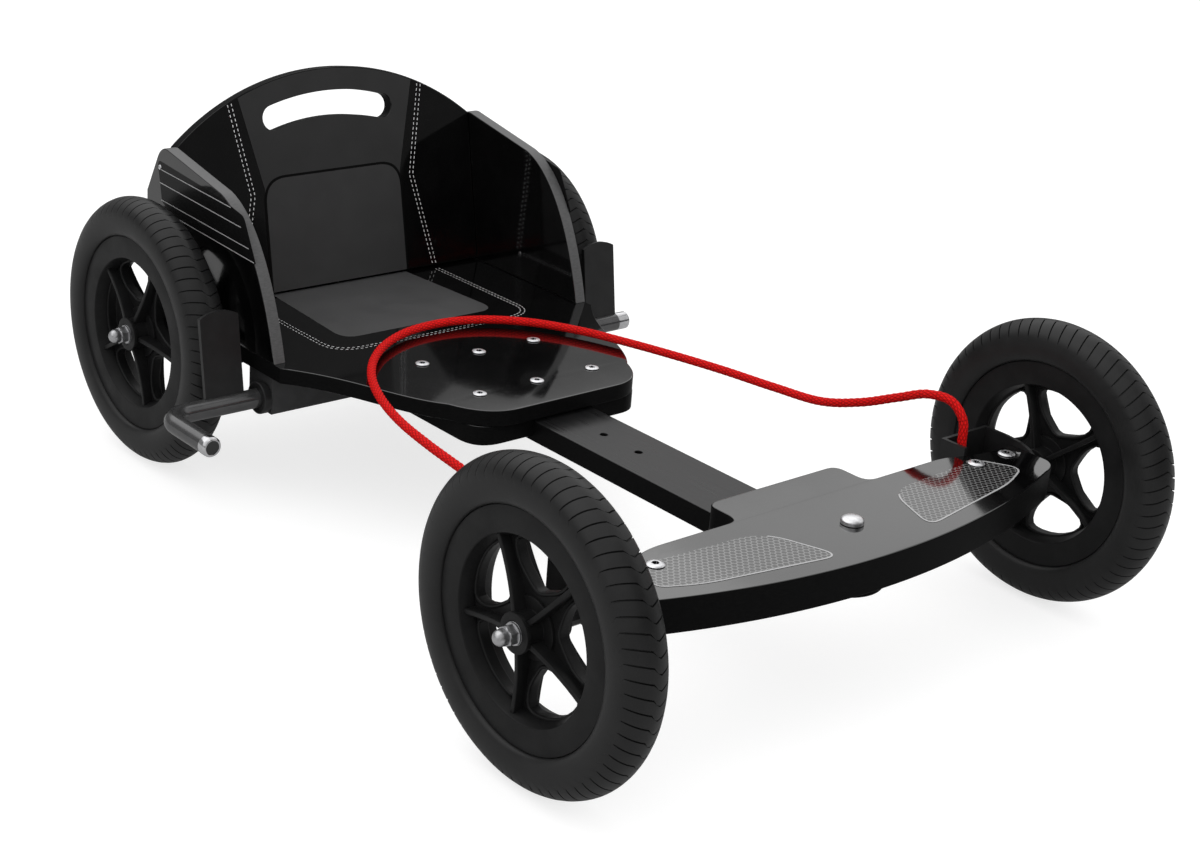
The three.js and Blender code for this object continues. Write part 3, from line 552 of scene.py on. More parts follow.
def powder_coat(name, dark, light):
    return finish(name, grey(dark), 0.36,
                  ((60, 4), 0.4, 0.8, grey(dark, dark * 1.03), grey(light, light * 1.02)),
                  ((22, 4), 0.3, 0.75, 0.28, 0.42), ((520, 2), 0.0003, 0.22), Specular_IOR_Level=0.36)


def plated(name, tone, rough):
    wear = (240, 4)
    return finish(name, grey(tone, tone * 1.01), rough + 0.06,
                  (wear, 0.4, 0.8, grey(tone, tone * 1.02), grey(tone * 0.82, tone * 0.84)),
                  (wear, 0.35, 0.75, rough, rough + 0.14), ((700, 2), 0.0001, 0.15), 1.0)


def printed(name, tone, rough, specular=0.5):
    cloud = (30, 4)
    return finish(name, grey(tone, tone * 1.01), rough,
                  (cloud, 0.35, 0.75, grey(tone * 0.93, tone * 0.94), grey(tone * 1.06, tone * 1.07)),
                  (cloud, 0.3, 0.8, rough * 0.88, rough * 1.12), Specular_IOR_Level=specular)


def braid():
    made = material("braided_cord", (0.74, 0.006, 0.005), 0.75, Specular_IOR_Level=0.1)
    n = Nodes(made)
    groove_shade = n.node("ShaderNodeAttribute", attribute_name="groove_shade").outputs["Fac"]
    strands = n.noise(1400, 2)
    light = n.mix(n.ramp(strands, 0.35, 0.7), (0.9, 0.012, 0.011), (0.7, 0.007, 0.007))
    # The cord is painted near black-red where it dips between the strands: painted shade.
    n.color(n.mix(n.ramp(groove_shade, 0.15, 0.8), light, (0.16, 0.001, 0.001)))
    n.bump(strands, 0.0002, 0.4)
    return made


def honeycomb():
    """Pale cell walls on black, for the foot pads."""
    made = material("foot_pad", grey(0.02), 0.1, Specular_IOR_Level=0.75, Coat_Weight=0.45,
                    Coat_Roughness=0.06)
    n = Nodes(made)

    def vector(operation, a, b=None):
        node = n.node("ShaderNodeVectorMath", operation=operation)
        for socket, value in zip(node.inputs, (a, b)):
            if isinstance(value, tuple):
                socket.default_value = value
            elif value is not None:
                n.link(value, socket)
        return node

    pitch = 0.0061
    cell = (pitch, pitch * math.sqrt(3), 1.0)
    half = (cell[0] / 2, cell[1] / 2, 0.0)
    rows_turn = math.radians(-49)
    start = vector("ADD", n.mapped("Rotation", (0, 0, rows_turn)), (2.0, 2.0, 0.0)).outputs[0]
    grids = []
    for shift in ((0.0, 0.0, 0.0), half):
        held = vector("MODULO", vector("ADD", start, shift).outputs[0], cell).outputs[0]
        middle = vector("SUBTRACT", held, half).outputs[0]
        grids.append(vector("MULTIPLY", middle, (1.0, 1.0, 0.0)).outputs[0])
    far = [vector("LENGTH", g).outputs["Value"] for g in grids]
    nearer = n.math("LESS_THAN", far[0], far[1])
    pick = n.node("ShaderNodeMix", data_type="VECTOR")
    vectors = [socket for socket in pick.inputs if socket.type == "VECTOR"]
    n.link(nearer, pick.inputs["Factor"])
    n.link(grids[1], vectors[-2])
    n.link(grids[0], vectors[-1])
    chosen = [socket for socket in pick.outputs if socket.type == "VECTOR"][0]
    size = vector("ABSOLUTE", chosen).outputs[0]
    slope = vector("DOT_PRODUCT", size, (0.5, math.sqrt(3) / 2, 0.0)).outputs["Value"]
    flat = vector("DOT_PRODUCT", size, (1.0, 0.0, 0.0)).outputs["Value"]
    edge = n.math("MAXIMUM", slope, flat)
    wall = n.ramp(edge, pitch * 0.36, pitch * 0.43)
    n.color(n.mix(wall, grey(0.009), grey(0.16)))
    n.rough(n.ramp(wall, 0.0, 1.0, 0.12, 0.08))
    return made


GRAIN = (6, 5, (60, 3, 60))
FILM = gloss_board()
EDGE = board_edge("board_edge", grey(0.0038, 0.0039), grey(0.0062, 0.0063), 0.03)
PANEL_EDGE = board_edge("panel_edge", grey(0.075, 0.076), grey(0.105, 0.106), 0.45)
BEAM = finish("satin_beam", grey(0.012, 0.0124), 0.34,
              (GRAIN, 0.35, 0.7, grey(0.009, 0.0094), grey(0.015, 0.0154)),
              (GRAIN, 0.3, 0.8, 0.26, 0.4), (GRAIN, 0.0002, 0.15), Specular_IOR_Level=0.44)
RUBBER = finish("tyre_rubber", grey(0.011, 0.0112), 0.42,
                ((35, 6), 0.42, 0.75, grey(0.0095, 0.0097), grey(0.014, 0.0142)),
                ((35, 6), 0.3, 0.8, 0.36, 0.48), ((900, 2), 0.0003, 0.25), Specular_IOR_Level=0.34)
RIM = finish("moulded_rim", grey(0.003, 0.0032), 0.4,
             ((55, 4), 0.4, 0.75, grey(0.0066, 0.0068), grey(0.01, 0.0102)),
             ((30, 4), 0.3, 0.75, 0.36, 0.52), ((700, 3), 0.00025, 0.25), Specular_IOR_Level=0.2)
COAT = powder_coat("powder_coat", 0.011, 0.0155)
# Cross members: the same black powder coat with about three times its tone, painted light that stands in
# for the light on their faces.
MEMBER_LIT_COAT = powder_coat("member_coat_painted_light", 0.035, 0.05)
BAR = finish("bar_coat", grey(0.05, 0.051), 0.3,
             ((90, 4), 0.4, 0.75, grey(0.12, 0.122), grey(0.14, 0.142)),
             ((90, 4), 0.3, 0.75, 0.17, 0.21), ((500, 2), 0.0002, 0.15), 0.75)
PLATED = plated("plated", 0.72, 0.08)
STEEL = plated("turned_steel", 0.42, 0.08)
BRIGHT = plated("bright_head", 0.86, 0.3)
NUT = plated("nut_metal", 0.56, 0.3)
ROPE = braid()
PAD = honeycomb()
PAD_LINE = printed("pad_line", 0.42, 0.25)
STITCH = printed("stitch_print", 0.72, 0.4, 0.3)
MATT = printed("matt_print", 0.029, 0.5, 0.3)
CUSHION = printed("cushion_print", 0.037, 0.42, 0.35)
SEAT_PRINT = printed("seat_print", 0.068, 0.42, 0.35)
DARK_LINE = printed("dark_print", 0.003, 0.4, 0.1)
BAND = printed("band_print", 0.006, 0.22, 0.14)
# The bolt heads' hex sockets are painted near black: painted shade in the recess of the chrome heads.
SOCKET_SHADE = printed("socket_painted_shade", 0.006, 0.6, 0.1)
CAP_FACE = printed("cap_face", 0.018, 0.14, 0.6)


# Rope: a braided cord through both bracket boxes and round over the tongue

ROPE_ROUTE = [
    (245, 33, 142), (245, 33, 165), (244, 33, 190), (243, 35, 212), (240, 50, 228), (235, 78, 228),
    (228, 112, 214), (221, 155, 195), (214, 205, 180), (206, 270, 176), (194, 340, 175.3),
    (177, 405, 175.3), (159, 462, 175.3), (136, 520, 175.3), (103, 572, 175.3), (62, 606, 175.3),
    (18, 621, 175.3),
    (-34, 619, 175.3), (-82, 600, 175.3), (-126, 566, 175.3), (-163, 520, 175.3), (-192, 462, 175.3),
    (-212, 400, 175.3), (-224, 335, 175.3), (-233, 270, 176), (-243, 205, 177), (-250, 155, 187),
    (-253, 112, 200), (-252, 74, 212), (-248, 46, 211), (-245, 34, 192), (-245, 33, 165), (-245, 33, 142),
]
ROPE_RADIUS = 5.0


def centripetal(points, step):
    """Points every step along a centripetal Catmull-Rom line, in millimetres."""
    pts = [Vector(p) for p in points]
    pts = [pts[0] * 2 - pts[1], *pts, pts[-1] * 2 - pts[-2]]
    dense = []
    for i in range(1, len(pts) - 2):
        p0, p1, p2, p3 = pts[i - 1:i + 3]
        t0 = 0.0
        t1 = t0 + max((p1 - p0).length, 1e-4) ** 0.5
        t2 = t1 + max((p2 - p1).length, 1e-4) ** 0.5
        t3 = t2 + max((p3 - p2).length, 1e-4) ** 0.5
        for k in range(40):
            t = t1 + (t2 - t1) * k / 40
            a1 = p0 * ((t1 - t) / (t1 - t0)) + p1 * ((t - t0) / (t1 - t0))
            a2 = p1 * ((t2 - t) / (t2 - t1)) + p2 * ((t - t1) / (t2 - t1))
            a3 = p2 * ((t3 - t) / (t3 - t2)) + p3 * ((t - t2) / (t3 - t2))
            b1 = a1 * ((t2 - t) / (t2 - t0)) + a2 * ((t - t0) / (t2 - t0))
            b2 = a2 * ((t3 - t) / (t3 - t1)) + a3 * ((t - t1) / (t3 - t1))
            dense.append(b1 * ((t2 - t) / (t2 - t1)) + b2 * ((t - t1) / (t2 - t1)))
    dense.append(pts[-2])
    return resampled(dense, step), length_of(dense)


def braid_shape(step, radius, strands=8, lay=16.0):
    """The over-and-under relief of a plaited cord, and how far each point dips between the strands, which
    darkens the cord's colour there as painted shade.
    """
    def shape(i, a):
        s = i * step
        one = a * strands / 2 + math.tau * s / lay
        two = a * strands / 2 - math.tau * s / lay
        heights = abs(math.cos(one)), abs(math.cos(two))
        over = math.sin(one + two) * math.sin(one - two) > 0
        relief = max(heights[0 if over else 1] ** 0.7, 0.75 * min(heights))
        return radius - 0.75 + 0.75 * relief, 1.0 - relief
    return shape


rope_step = 1.25
rope_points, rope_length = centripetal([(x, y + FRONT, z) for x, y, z in ROPE_ROUTE], rope_step)
rope = sweep("rope", rope_points, ROPE_RADIUS, 32, [ROPE], braid_shape(rope_step, ROPE_RADIUS),
             Vector((0, 1, 0)))
smooth(rope)
fit(rope, "steering", "steering_rope")


# Boards

def lay_board(piece, normal, body, node):
    """Film on the faces along normal and a bare edge round them."""
    edge_material(piece, normal)
    fit(finish_mesh(piece), body, node)


def deck_outline():
    radius, bow, end, shoulder = 800.0, 105.0, 298.5, 270.0

    def front(x):
        return -(math.sqrt(radius ** 2 - x ** 2) - radius + bow)

    half = [(shoulder * i / 48, front(shoulder * i / 48)) for i in range(1, 49)]
    bend(half, (end, front(shoulder) + 7), (end, -34), 14)
    half += [(end, 10), (shoulder, 10)]
    bend(half, (242.5, 10), (215, 21.5), 14)
    bend(half, (203, 25), (187, 25), 6)
    half += [(104, 25)]
    bend(half, (90, 25), (90, 39), 10)
    half += [(90, 55)]
    bend(half, (90, 69), (76, 69), 10)
    return both_halves(half)


def holes_at(places):
    return [circle(x, y, BOLT_HOLE, 20) for x, y in places]


UP = (0, 0, 1)
DECK_BOLTS_Y = -5
deck_bolts = {"deck_bolt_inner_right": 223, "deck_bolt_outer_right": 272,
              "deck_bolt_inner_left": -223, "deck_bolt_outer_left": -272}
at_front = Matrix.Translation((0, FRONT, 0))
at_rear = Matrix.Translation((0, REAR, 0))

deck_holes = [circle(0, KINGPIN_Y - FRONT, KINGPIN_HOLE)]
deck_holes += holes_at((x, DECK_BOLTS_Y) for x in deck_bolts.values())
deck = board("deck", deck_outline(), deck_holes, DECK_TOP - DECK_BOARD, DECK_BOARD, 1.6, at_front,
             [FILM, EDGE], 3)
lay_board(deck, UP, "steering", "steering_deck")

seat_bolts = [(-80, -375), (0, -375), (80, -375), (-80, -270), (0, -270), (80, -270)]


def seat_outline():
    half = [(70, -430)]
    bend(half, (108.8, -430), (128, -382), 12)
    half += cubic((128, -382), (168.74, -335.5), (168.74, -272.5), (225, -205), 24)
    half += [(225, 83)]
    return both_halves(half)


seat = board("seat_plank", seat_outline(), holes_at(seat_bolts), BOARD_TOP - SEAT_BOARD, SEAT_BOARD,
             BOARD_EDGE, at_rear, [FILM, EDGE], 3)
lay_board(seat, UP, "frame", "seat_board")


def side_outline():
    points = [(-193, 0.3)]
    points += cubic((-193, 0.3), (-173.7, 74.7), (-136.5, 149.4), (-80, 166), 24)
    points += [(37, 187)]
    bend(points, (52, 187), (59.5, 172), 10)
    points += [(83, 128), (83, 0.3)]
    return points


side = board("side_panel_right", side_outline(), [], PANEL_INNER, PANEL_BOARD, BOARD_EDGE,
             facing_x(0, REAR, BOARD_TOP), [FILM, PANEL_EDGE], 3)
edge_material(side, (1, 0, 0))
finish_mesh(side)
side_left = mirrored(side, "side_panel_left")
fit(side, "frame", "seat_side_right")
fit(side_left, "frame", "seat_side_left")

LEAN = math.radians(11)
BACK_HALF = 209.7
BACK_RISE = 74
BACK_HEIGHT = 264
BACK_RADIUS = (BACK_HALF ** 2 + BACK_RISE ** 2) / (2 * BACK_RISE)
BACK_CENTRE = BACK_HEIGHT - BACK_RADIUS


def back_outline():
    spread = math.asin(BACK_HALF / BACK_RADIUS)
    return [(-BACK_HALF, 3.2), (BACK_HALF, 3.2)] + arc(
        0, BACK_CENTRE, BACK_RADIUS, math.pi / 2 - spread, math.pi / 2 + spread, 56)


def slot_outline():
    """A slot of one width that follows the back's top edge, with round ends."""
    width, half_length = 30, 77
    outer = BACK_RADIUS - 28
    inner = outer - width
    middle = (outer + inner) / 2
    reach = math.asin(half_length / middle)
    left, right = math.pi / 2 + reach, math.pi / 2 - reach

    def round_end(angle, start, stop):
        x, y = middle * math.cos(angle), BACK_CENTRE + middle * math.sin(angle)
        return arc(x, y, width / 2, start, stop, 14)[1:-1]

    return (arc(0, BACK_CENTRE, outer, right, left, 30) + round_end(left, left, left + math.pi)
            + arc(0, BACK_CENTRE, inner, left, right, 30)
            + round_end(right, right + math.pi, right + math.tau))


def back_place(depth=0.0):
    """From the back's own plane, x across and y up its face, to the car; depth is to the rear."""
    lean = Matrix.Rotation(-LEAN, 4, "X")
    upright = Matrix(((1, 0, 0, 0), (0, 0, -1, 0), (0, 1, 0, 0), (0, 0, 0, 1)))
    foot = Matrix.Translation((0, REAR + 5, BOARD_TOP))
    return foot @ lean @ Matrix.Translation((0, depth, 0)) @ upright


back = board("back_panel", back_outline(), [slot_outline()], 0, PANEL_BOARD, BOARD_EDGE,
             back_place(PANEL_BOARD), [FILM, EDGE], 3)
lay_board(back, (0, math.cos(LEAN), -math.sin(LEAN)), "frame", "seat_back")


def block_outline():
    points = quad((84, -422), (118, -422), (118, -388), 10)
    points += [(118, -225), (-118, -225), (-118, -388)]
    bend(points, (-118, -422), (-84, -422), 10)
    points += [(-41.8, -422), (-41.8, -242.7), (41.8, -242.7), (41.8, -422)]
    return points


lower = board("lower_layer", block_outline(), holes_at(p for p in seat_bolts if p[0]), BLOCK_FOOT,
              BLOCK_BOARD, 1.2, at_rear, [FILM, EDGE], 2)
lay_board(lower, UP, "frame", "lower_block")


def beam_outline():
    points = arc(0, -438, 41.5, math.pi, math.tau, 40) + [(41.5, 155)]
    bend(points, (41.5, 162), (34.5, 162), 6)
    points += [(-34.5, 162)]
    bend(points, (-41.5, 162), (-41.5, 155), 6)
    return points


beam_holes = [(KINGPIN_Y, KINGPIN_HOLE), (-86, 4), (-142, 4), (30, BOLT_HOLE), (135, BOLT_HOLE)]
beam = board("beam", beam_outline(), [circle(0, y, r) for y, r in beam_holes], BEAM_FOOT, BEAM_BOARD,
             BOARD_EDGE, None, [BEAM, EDGE], 3)
lay_board(beam, UP, "frame", "main_beam")


# Wheels

def clamped(value):
    return max(0.0, min(1.0, value))


def tyre_mesh():
    """A tyre with narrow slanted cuts in from each shoulder, which alternate between the sides."""
    outer = [(112.3, 19.3), (113.6, 21.6), (116, 23.2), (120, 24.4), (125, 25), (130, 25),
             (135, 24.4), (139.5, 23.2), (143.5, 21.2), (147, 18.4), (149.8, 15.2), (152, 11.6),
             (153.6, 7.8), (154.6, 3.9), (154.9, 1.9)]
    profile = [(106.3, -15), (112.3, -15)] + [(r, -x) for r, x in outer] + [(WHEEL_RADIUS, 0)]
    profile += list(reversed(outer)) + [(112.3, 15), (106.3, 15), (106.3, 5), (106.3, -5)]
    cuts = 68
    depth = 2.6
    pitch = math.tau / cuts
    offsets = [(-0.0054, 0.0), (-0.0022, 1.0), (0.0022, 1.0), (0.0054, 0.0),
               (pitch * 0.36, 0.0), (pitch * 0.64, 0.0)]
    verts = []
    for k in range(cuts):
        for offset, deep in offsets:
            for r, x in profile:
                tread = clamped(min((r - 137.0) / 5.0, (abs(x) - 0.5) / 3.4))
                shoulder = clamped((r - 125) / 14)
                slant = 0.34 * abs(x) / WHEEL_RADIUS * shoulder
                shift = pitch / 2 * clamped(0.5 + x / 7.8) * shoulder
                narrow = offset * (0.2 + 0.8 * tread) if abs(offset) < 0.01 else offset
                a = k * pitch + narrow + slant + shift
                q = r - depth * deep * tread
                verts.append((x, q * math.cos(a), q * math.sin(a)))
    faces = grid_faces(cuts * len(offsets), len(profile), True)
    return finish_mesh(mesh_from("tyre_shape", verts, faces, [RUBBER]), 38, False)


def window(middle):
    """The opening between two spokes, from shares of the reach and degrees to each side."""
    reach = 82
    shares = [(0.46, 6), (0.5, 12.5), (0.56, 19), (0.62, 23.5), (0.7, 27), (0.79, 28.6),
              (0.88, 28.6), (0.94, 27), (0.965, 24), (0.974, 18), (0.978, 10), (0.98, 3)]
    whole = shares + [(s, -d) for s, d in reversed(shares)] + [(0.452, -2.5), (0.452, 2.5)]
    points = [(reach * s, middle + math.radians(d)) for s, d in whole]
    return [(r * math.cos(a), r * math.sin(a)) for r, a in points]


def rim_mesh():
    """The moulded wheel centre: ring, web with windows, ribs and hub, joined."""
    ring = rounded([(87, -19), (112, -19), (112, -15), (106, -15), (106, 15), (112, 15), (112, 19),
                    (87, 19), (82, 6), (82, -6)], 1.2, True)
    body = lathe("rim_shape", ring, 112, [RIM], True)
    lay = facing_x()
    windows = [window((i + 0.5) / 5 * math.tau) for i in range(5)]
    bore = circle(0, 0, 14, 40)
    web = board("web", circle(0, 0, 84.5, 112), windows + [bore], -4, 8, 1.4, lay, [RIM], 3)
    hub = rounded([(11.3, -25), (17.5, -25), (17.5, -7), (29, -7), (29, 7), (17.5, 7), (17.5, 22),
                   (19, 22), (19, 26), (11.3, 26)], 0.8, True)
    parts = [web, lathe("hub", hub, 56, [RIM], True)]
    for i, hole in enumerate(windows):
        parts.append(board(f"lip{i}", beside(hole, 3.6, True), [hole], -6, 12, 1.6, lay, [RIM], 3))
    lift = Matrix(((0, 1, 0, 0), (1, 0, 0, 0), (0, 0, 1, 0), (0, 0, 0, 1)))
    outline = [(15, -21)]
    bend(outline, (50, -13), (86.5, -15), 10)
    outline += [(86.5, 15)]
    bend(outline, (50, 13.6), (15, 22), 10)
    for i in range(5):
        spin = Matrix.Rotation(math.tau * i / 5, 4, "X")
        parts.append(board(f"rib{i}", outline, [], -2.5, 5, 1.0, spin @ lift, [RIM], 2))
    for part in parts:
        clean(part.data)
    joined = union(body, parts)
    clean(joined.data, merge=2e-5, degenerate=1e-5, turn_out=False)
    return finish_mesh(joined, 30, False)


tyre_shape = tyre_mesh()
rim_shape = rim_mesh()
wheel_bush = rounded([(5.3, -25), (11, -25), (11, 26), (5.3, 26)], 0.4, True)
bush_shape = finish_mesh(lathe("bush_shape", wheel_bush, 40, [STEEL], True), 30, False)


def nut_mesh():
    """A dome nut on its flange, along +X from its seat."""
    dome, flats = 7.8, 8.66
    profile = [(0.0, 0.0), (10.3, 0.0), (10.5, 0.4), (10.5, 1.2), (9.6, 1.6), (9.9, 1.7), (9.9, 9.2),
               (8.6, 9.7), (dome, 9.8), (dome, 13.6)]
    profile += [(dome * math.cos(t), 13.6 + dome * math.sin(t)) for t in quarter_turn(10)]
    profile += [(0.0, 21.4)]

    def reach(k, r, x, a):
        return min(r, flats / hexagon_cosine(a)) if 1.65 < x < 9.75 else r

    return finish_mesh(turned("nut_shape", profile, 72, [NUT], reach=reach), 26, False)


nut_shape = nut_mesh()
FRONT_TRACK = 706
REAR_TRACK = 546
NUT_SEAT = 26.3
wheels = {"front_left": (-FRONT_TRACK / 2, FRONT, 24), "front_right": (FRONT_TRACK / 2, FRONT, 68),
          "rear_left": (-REAR_TRACK / 2, REAR, 6), "rear_right": (REAR_TRACK / 2, REAR, 20)}

# Each wheel with its place and how far it is turned, in degrees
for corner, (x, y, phase) in wheels.items():
    outward = -1 if x < 0 else 1
    face = Matrix.Rotation(math.pi if x < 0 else 0.0, 4, "Z")
    spin = Matrix.Rotation(math.radians(phase) * outward, 4, "X")
    body = "wheel_" + corner
    for shape, part in ((tyre_shape, "tyre"), (rim_shape, "rim"), (bush_shape, "bush")):
        piece = copy_of(shape, f"{corner}_{part}_piece", at(x, y, WHEEL_RADIUS) @ face @ spin)
        fit(piece, body, f"{corner}_{part}")
    end, nut_side = corner.split("_")
    piece = copy_of(nut_shape, f"{corner}_dome_nut", at(x + outward * NUT_SEAT, y, WHEEL_RADIUS) @ face)
    fit(piece, "steering" if end == "front" else "frame", f"{end}_nut_{nut_side}")
for shape in (tyre_shape, rim_shape, bush_shape, nut_shape):
    bpy.data.objects.remove(shape)


# Bolt heads and the kingpin

def bolt_mesh(name, length, head=9.0, height=2.4, socket=3.4):
    """A low round head with a six-sided socket, on its shank; z = 0 is the board."""
    profile = [(0, -length), (3.0, -length), (3.2, -length + 0.6), (3.2, 0.3), (head - 0.5, 0.3),
               (head, 0.6), (head, 0.9), (head - 0.5, 1.35), (head * 0.82, height - 0.45),
               (head * 0.62, height - 0.05), (head * 0.55, height)]
    first = len(profile)
    profile += [(socket + 0.25, height - 0.05), (socket, height - 0.4), (socket, height - 2.2),
                (0, height - 2.3)]

    def reach(k, r, z, a):
        return r * 0.92 / hexagon_cosine(a) if k >= first else r

    obj = turned(name, profile, 48, [BRIGHT, SOCKET_SHADE], axis="Z", reach=reach)
    # The socket's walls and floor take the dark material: painted shade in the recess.
    for polygon in obj.data.polygons:
        x, y, z = (c / MM for c in polygon.center)
        polygon.material_index = int(math.hypot(x, y) < socket + 0.05 and z > 0 and z < height - 0.1)
    return finish_mesh(obj, 28, False)


deck_bolt_shape = bolt_mesh("deck_bolt_shape", 39)
side_bolt_shape = bolt_mesh("side_bolt_shape", 40.4, 7.9, 1.9, 3.1)
beam_bolt_shape = bolt_mesh("beam_bolt_shape", 46.4, 7.9, 1.9, 3.1)
for node, x in deck_bolts.items():
    place = at(x, FRONT + DECK_BOLTS_Y, DECK_TOP)
    fit(copy_of(deck_bolt_shape, node + "_head", place), "steering", node)
for i, (x, y) in enumerate(seat_bolts):
    shape = side_bolt_shape if x else beam_bolt_shape
    place = at(x, REAR + y, BOARD_TOP) @ Matrix.Rotation(0.4 * i, 4, "Z")
    fit(copy_of(shape, f"seat_bolt_{i + 1}_head", place), "frame", f"seat_bolt_{i + 1}")
for shape in (deck_bolt_shape, side_bolt_shape, beam_bolt_shape):
    bpy.data.objects.remove(shape)

pin_profile = [(0, -75), (5.4, -75), (6, -74), (6, 0.3), (11.1, 0.3), (11.5, 0.7), (11.5, 3.4)]
pin_profile += [(11.5 * math.cos(t) ** 0.8, 3.4 + 4.0 * math.sin(t)) for t in quarter_turn(12)]
pin_profile += [(0, 7.4)]
pin = lathe("kingpin_piece", pin_profile, 56, [BRIGHT], axis="Z")
pin.data.transform(at(0, KINGPIN_Y, DECK_TOP))
fit(finish_mesh(pin, 30, False), "frame", "kingpin")


# Brake bar, with its handle on the left and a bright end on the right

BAR_RADIUS = 11
BAR_END = 297
HANDLE_X = 347
HANDLE_BEND = 26
HANDLE_END = 86
END_GAP = 0.3


def bar_points():
    """The bar's middle line, from its right end to the end of the handle."""
    corner = HANDLE_X - HANDLE_BEND
    points = [(x, 0) for x in (-BAR_END, -150, 0, 150, 226, corner)]
    points += [(corner + HANDLE_BEND * math.sin(t), -HANDLE_BEND + HANDLE_BEND * math.cos(t))
               for t in quarter_turn(16) + [math.pi / 2]]
    points += [(HANDLE_X, -50), (HANDLE_X, -HANDLE_END)]
    return [(-x, y + BAR_Y, BAR_HEIGHT) for x, y in points]


bar = finish_mesh(sweep("brake_bar_piece", bar_points(), BAR_RADIUS, 40, [BAR]), 40, False)
cap_profile = rounded([(0, 0), (11.3, 0), (11.3, 9), (9.5, 12), (8.2, 12), (8.0, 11.5), (0, 11.5)], 0.6)
cap = finish_mesh(lathe("brake_cap_piece", cap_profile, 48, [PLATED, CAP_FACE], axis="Z"), 30, False)
for polygon in cap.data.polygons:
    polygon.material_index = int(polygon.normal.z > 0.9 and math.hypot(*polygon.center.xy) < 8.05 * MM)
cap_turn = Matrix.Rotation(math.pi / 2, 4, "X")
cap.data.transform(at(-HANDLE_X, BAR_Y - (HANDLE_END + END_GAP), BAR_HEIGHT) @ cap_turn)
end_profile = rounded([(0, 0), (BAR_RADIUS, 0), (BAR_RADIUS, 16), (9, 18), (0, 18)], 0.8)
bar_end = finish_mesh(lathe("brake_end_piece", end_profile, 48, [PLATED]), 30, False)
bar_end.data.transform(at(BAR_END + END_GAP, BAR_Y, BAR_HEIGHT))
fit(bar, "brake", "brake_bar")
fit(cap, "brake", "brake_cap")
fit(bar_end, "brake", "brake_end")

bush_profile = rounded([(11.3, 217.7), (14.3, 217.7), (14.3, 222.3), (18.5, 222.3), (18.5, 232.3),
                        (11.3, 232.3)], 1.6, True)
brake_bush = finish_mesh(lathe("brake_bush_piece_right", bush_profile, 56, [COAT], True), 40, False)
brake_bush.data.transform(at(0, BAR_Y, BAR_HEIGHT))
brake_bush_left = mirrored(brake_bush, "brake_bush_piece_left")
fit(brake_bush, "frame", "brake_bush_right")
fit(brake_bush_left, "frame", "brake_bush_left")


# The CAD's own steel pieces keep their shape and get a finish and eased edges

def dress(node, made, edge=0.5):
    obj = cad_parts[node]
    obj.data.materials.clear()
    obj.data.materials.append(made)
    if edge:
        modifier = obj.modifiers.new("edges", "BEVEL")
        modifier.width = edge * MM
        modifier.segments = 2
        modifier.limit_method = "ANGLE"
        modifier.angle_limit = math.radians(35)
        modifier.harden_normals = False
    finish_mesh(obj, 32, False)


# The cross members take the paler coat, which is painted light.
for node in ("brake_cross_member", "rear_cross_member"):
    dress(node, MEMBER_LIT_COAT)
for hand in ("right", "left"):
    for part in ("front_bracket", "rear_axle_plate", "brake_plate"):
        dress(f"{part}_{hand}", COAT)
    for part in ("front_axle", "rear_axle"):
        dress(f"{part}_{hand}", STEEL, 0.0)
dress("kingpin_washer", STEEL, 0.0)
dress("kingpin_nut", PLATED, 0.3)


# Knots under the deck, each a few tight turns of the same cord

def knot(name, node, sign):
    radius, samples, spread, rise = 4.4, 240, 2.9, 4.3
    points = []
    for i in range(samples):
        t = math.tau * i / samples
        x = sign * (245 + spread * (math.sin(t) + 2 * math.sin(2 * t)))
        y = FRONT + 33 + spread * (math.cos(t) - 2 * math.cos(2 * t))
        points.append(Vector((x, y, 132.6 - rise * math.sin(3 * t))))
    step = length_of(points) / (samples - 1)
    piece = sweep(name, points + points[:1], radius, 24, [ROPE], braid_shape(step, radius))
    smooth(piece)
    fit(piece, "steering", node)
    return piece


knots = [knot("knot_right", "rope_knot_right", 1), knot("knot_left", "rope_knot_left", -1)]


# Prints, thin films on the boards

# How high the prints lie over a board, how thick they are, and half the distance of a seam's two rows
ON_BOARD = 0.03
ON_PRINT = 0.2
ON_BORDER = 0.37
PRINT = 0.14
SEAM = 2.6


def film(name, outline, holes, z0, place, made, body):
    obj = board(name, outline, holes, z0, PRINT, 0.03, place, [made], 1)
    fit(finish_mesh(obj, 12, False), body)


def lines(name, paths, width, z0, place, made, body):
    fit(strip(name, paths, width, z0, PRINT, place, [made]), body)


PAD_CORNERS = [(-231, 2, 12), (-91, -6, 30), (-62, -82, 20), (-212, -57, 20), (-256, -38, 16)]
for name, flip in (("left", 1), ("right", -1)):
    corners = [(x * flip, y, r) for x, y, r in PAD_CORNERS]
    hole = [circle(-223 * flip, DECK_BOLTS_Y, 10.5, 32)]
    outline, ring = eased(corners[::flip], 12, 10), eased(corners, 12, 10)
    film(f"foot_pad_{name}", outline, hole, DECK_TOP + ON_BOARD, at_front, PAD, "steering")
    lines(f"foot_pad_line_{name}", [ring[17:] + ring[:4]], 1.9, DECK_TOP + ON_PRINT, at_front,
          PAD_LINE, "steering")

cushion = eased([(98, 9, 0.5), (110, -160, 24), (-110, -160, 24), (-98, 9, 0.5)], 10, 12)
film("seat_pad", cushion, [], BOARD_TOP + ON_BOARD, at_rear, SEAT_PRINT, "frame")
seam = [(141, -1)] + quad((142, -160), (142, -190), (108, -193), 12)
bend(seam, (0, -196), (-108, -193), 16)
bend(seam, (-142, -190), (-142, -160), 12)
seam += [(-141, -1)]
for i, gap in enumerate((-SEAM, SEAM)):
    lines(f"seat_seam_{i + 1}", stitches(beside(seam, gap)), 0.9, BOARD_TOP + ON_BOARD, at_rear,
          STITCH, "frame")


def back_top(x):
    return BACK_CENTRE + math.sqrt(BACK_RADIUS ** 2 - x ** 2) - 2.2


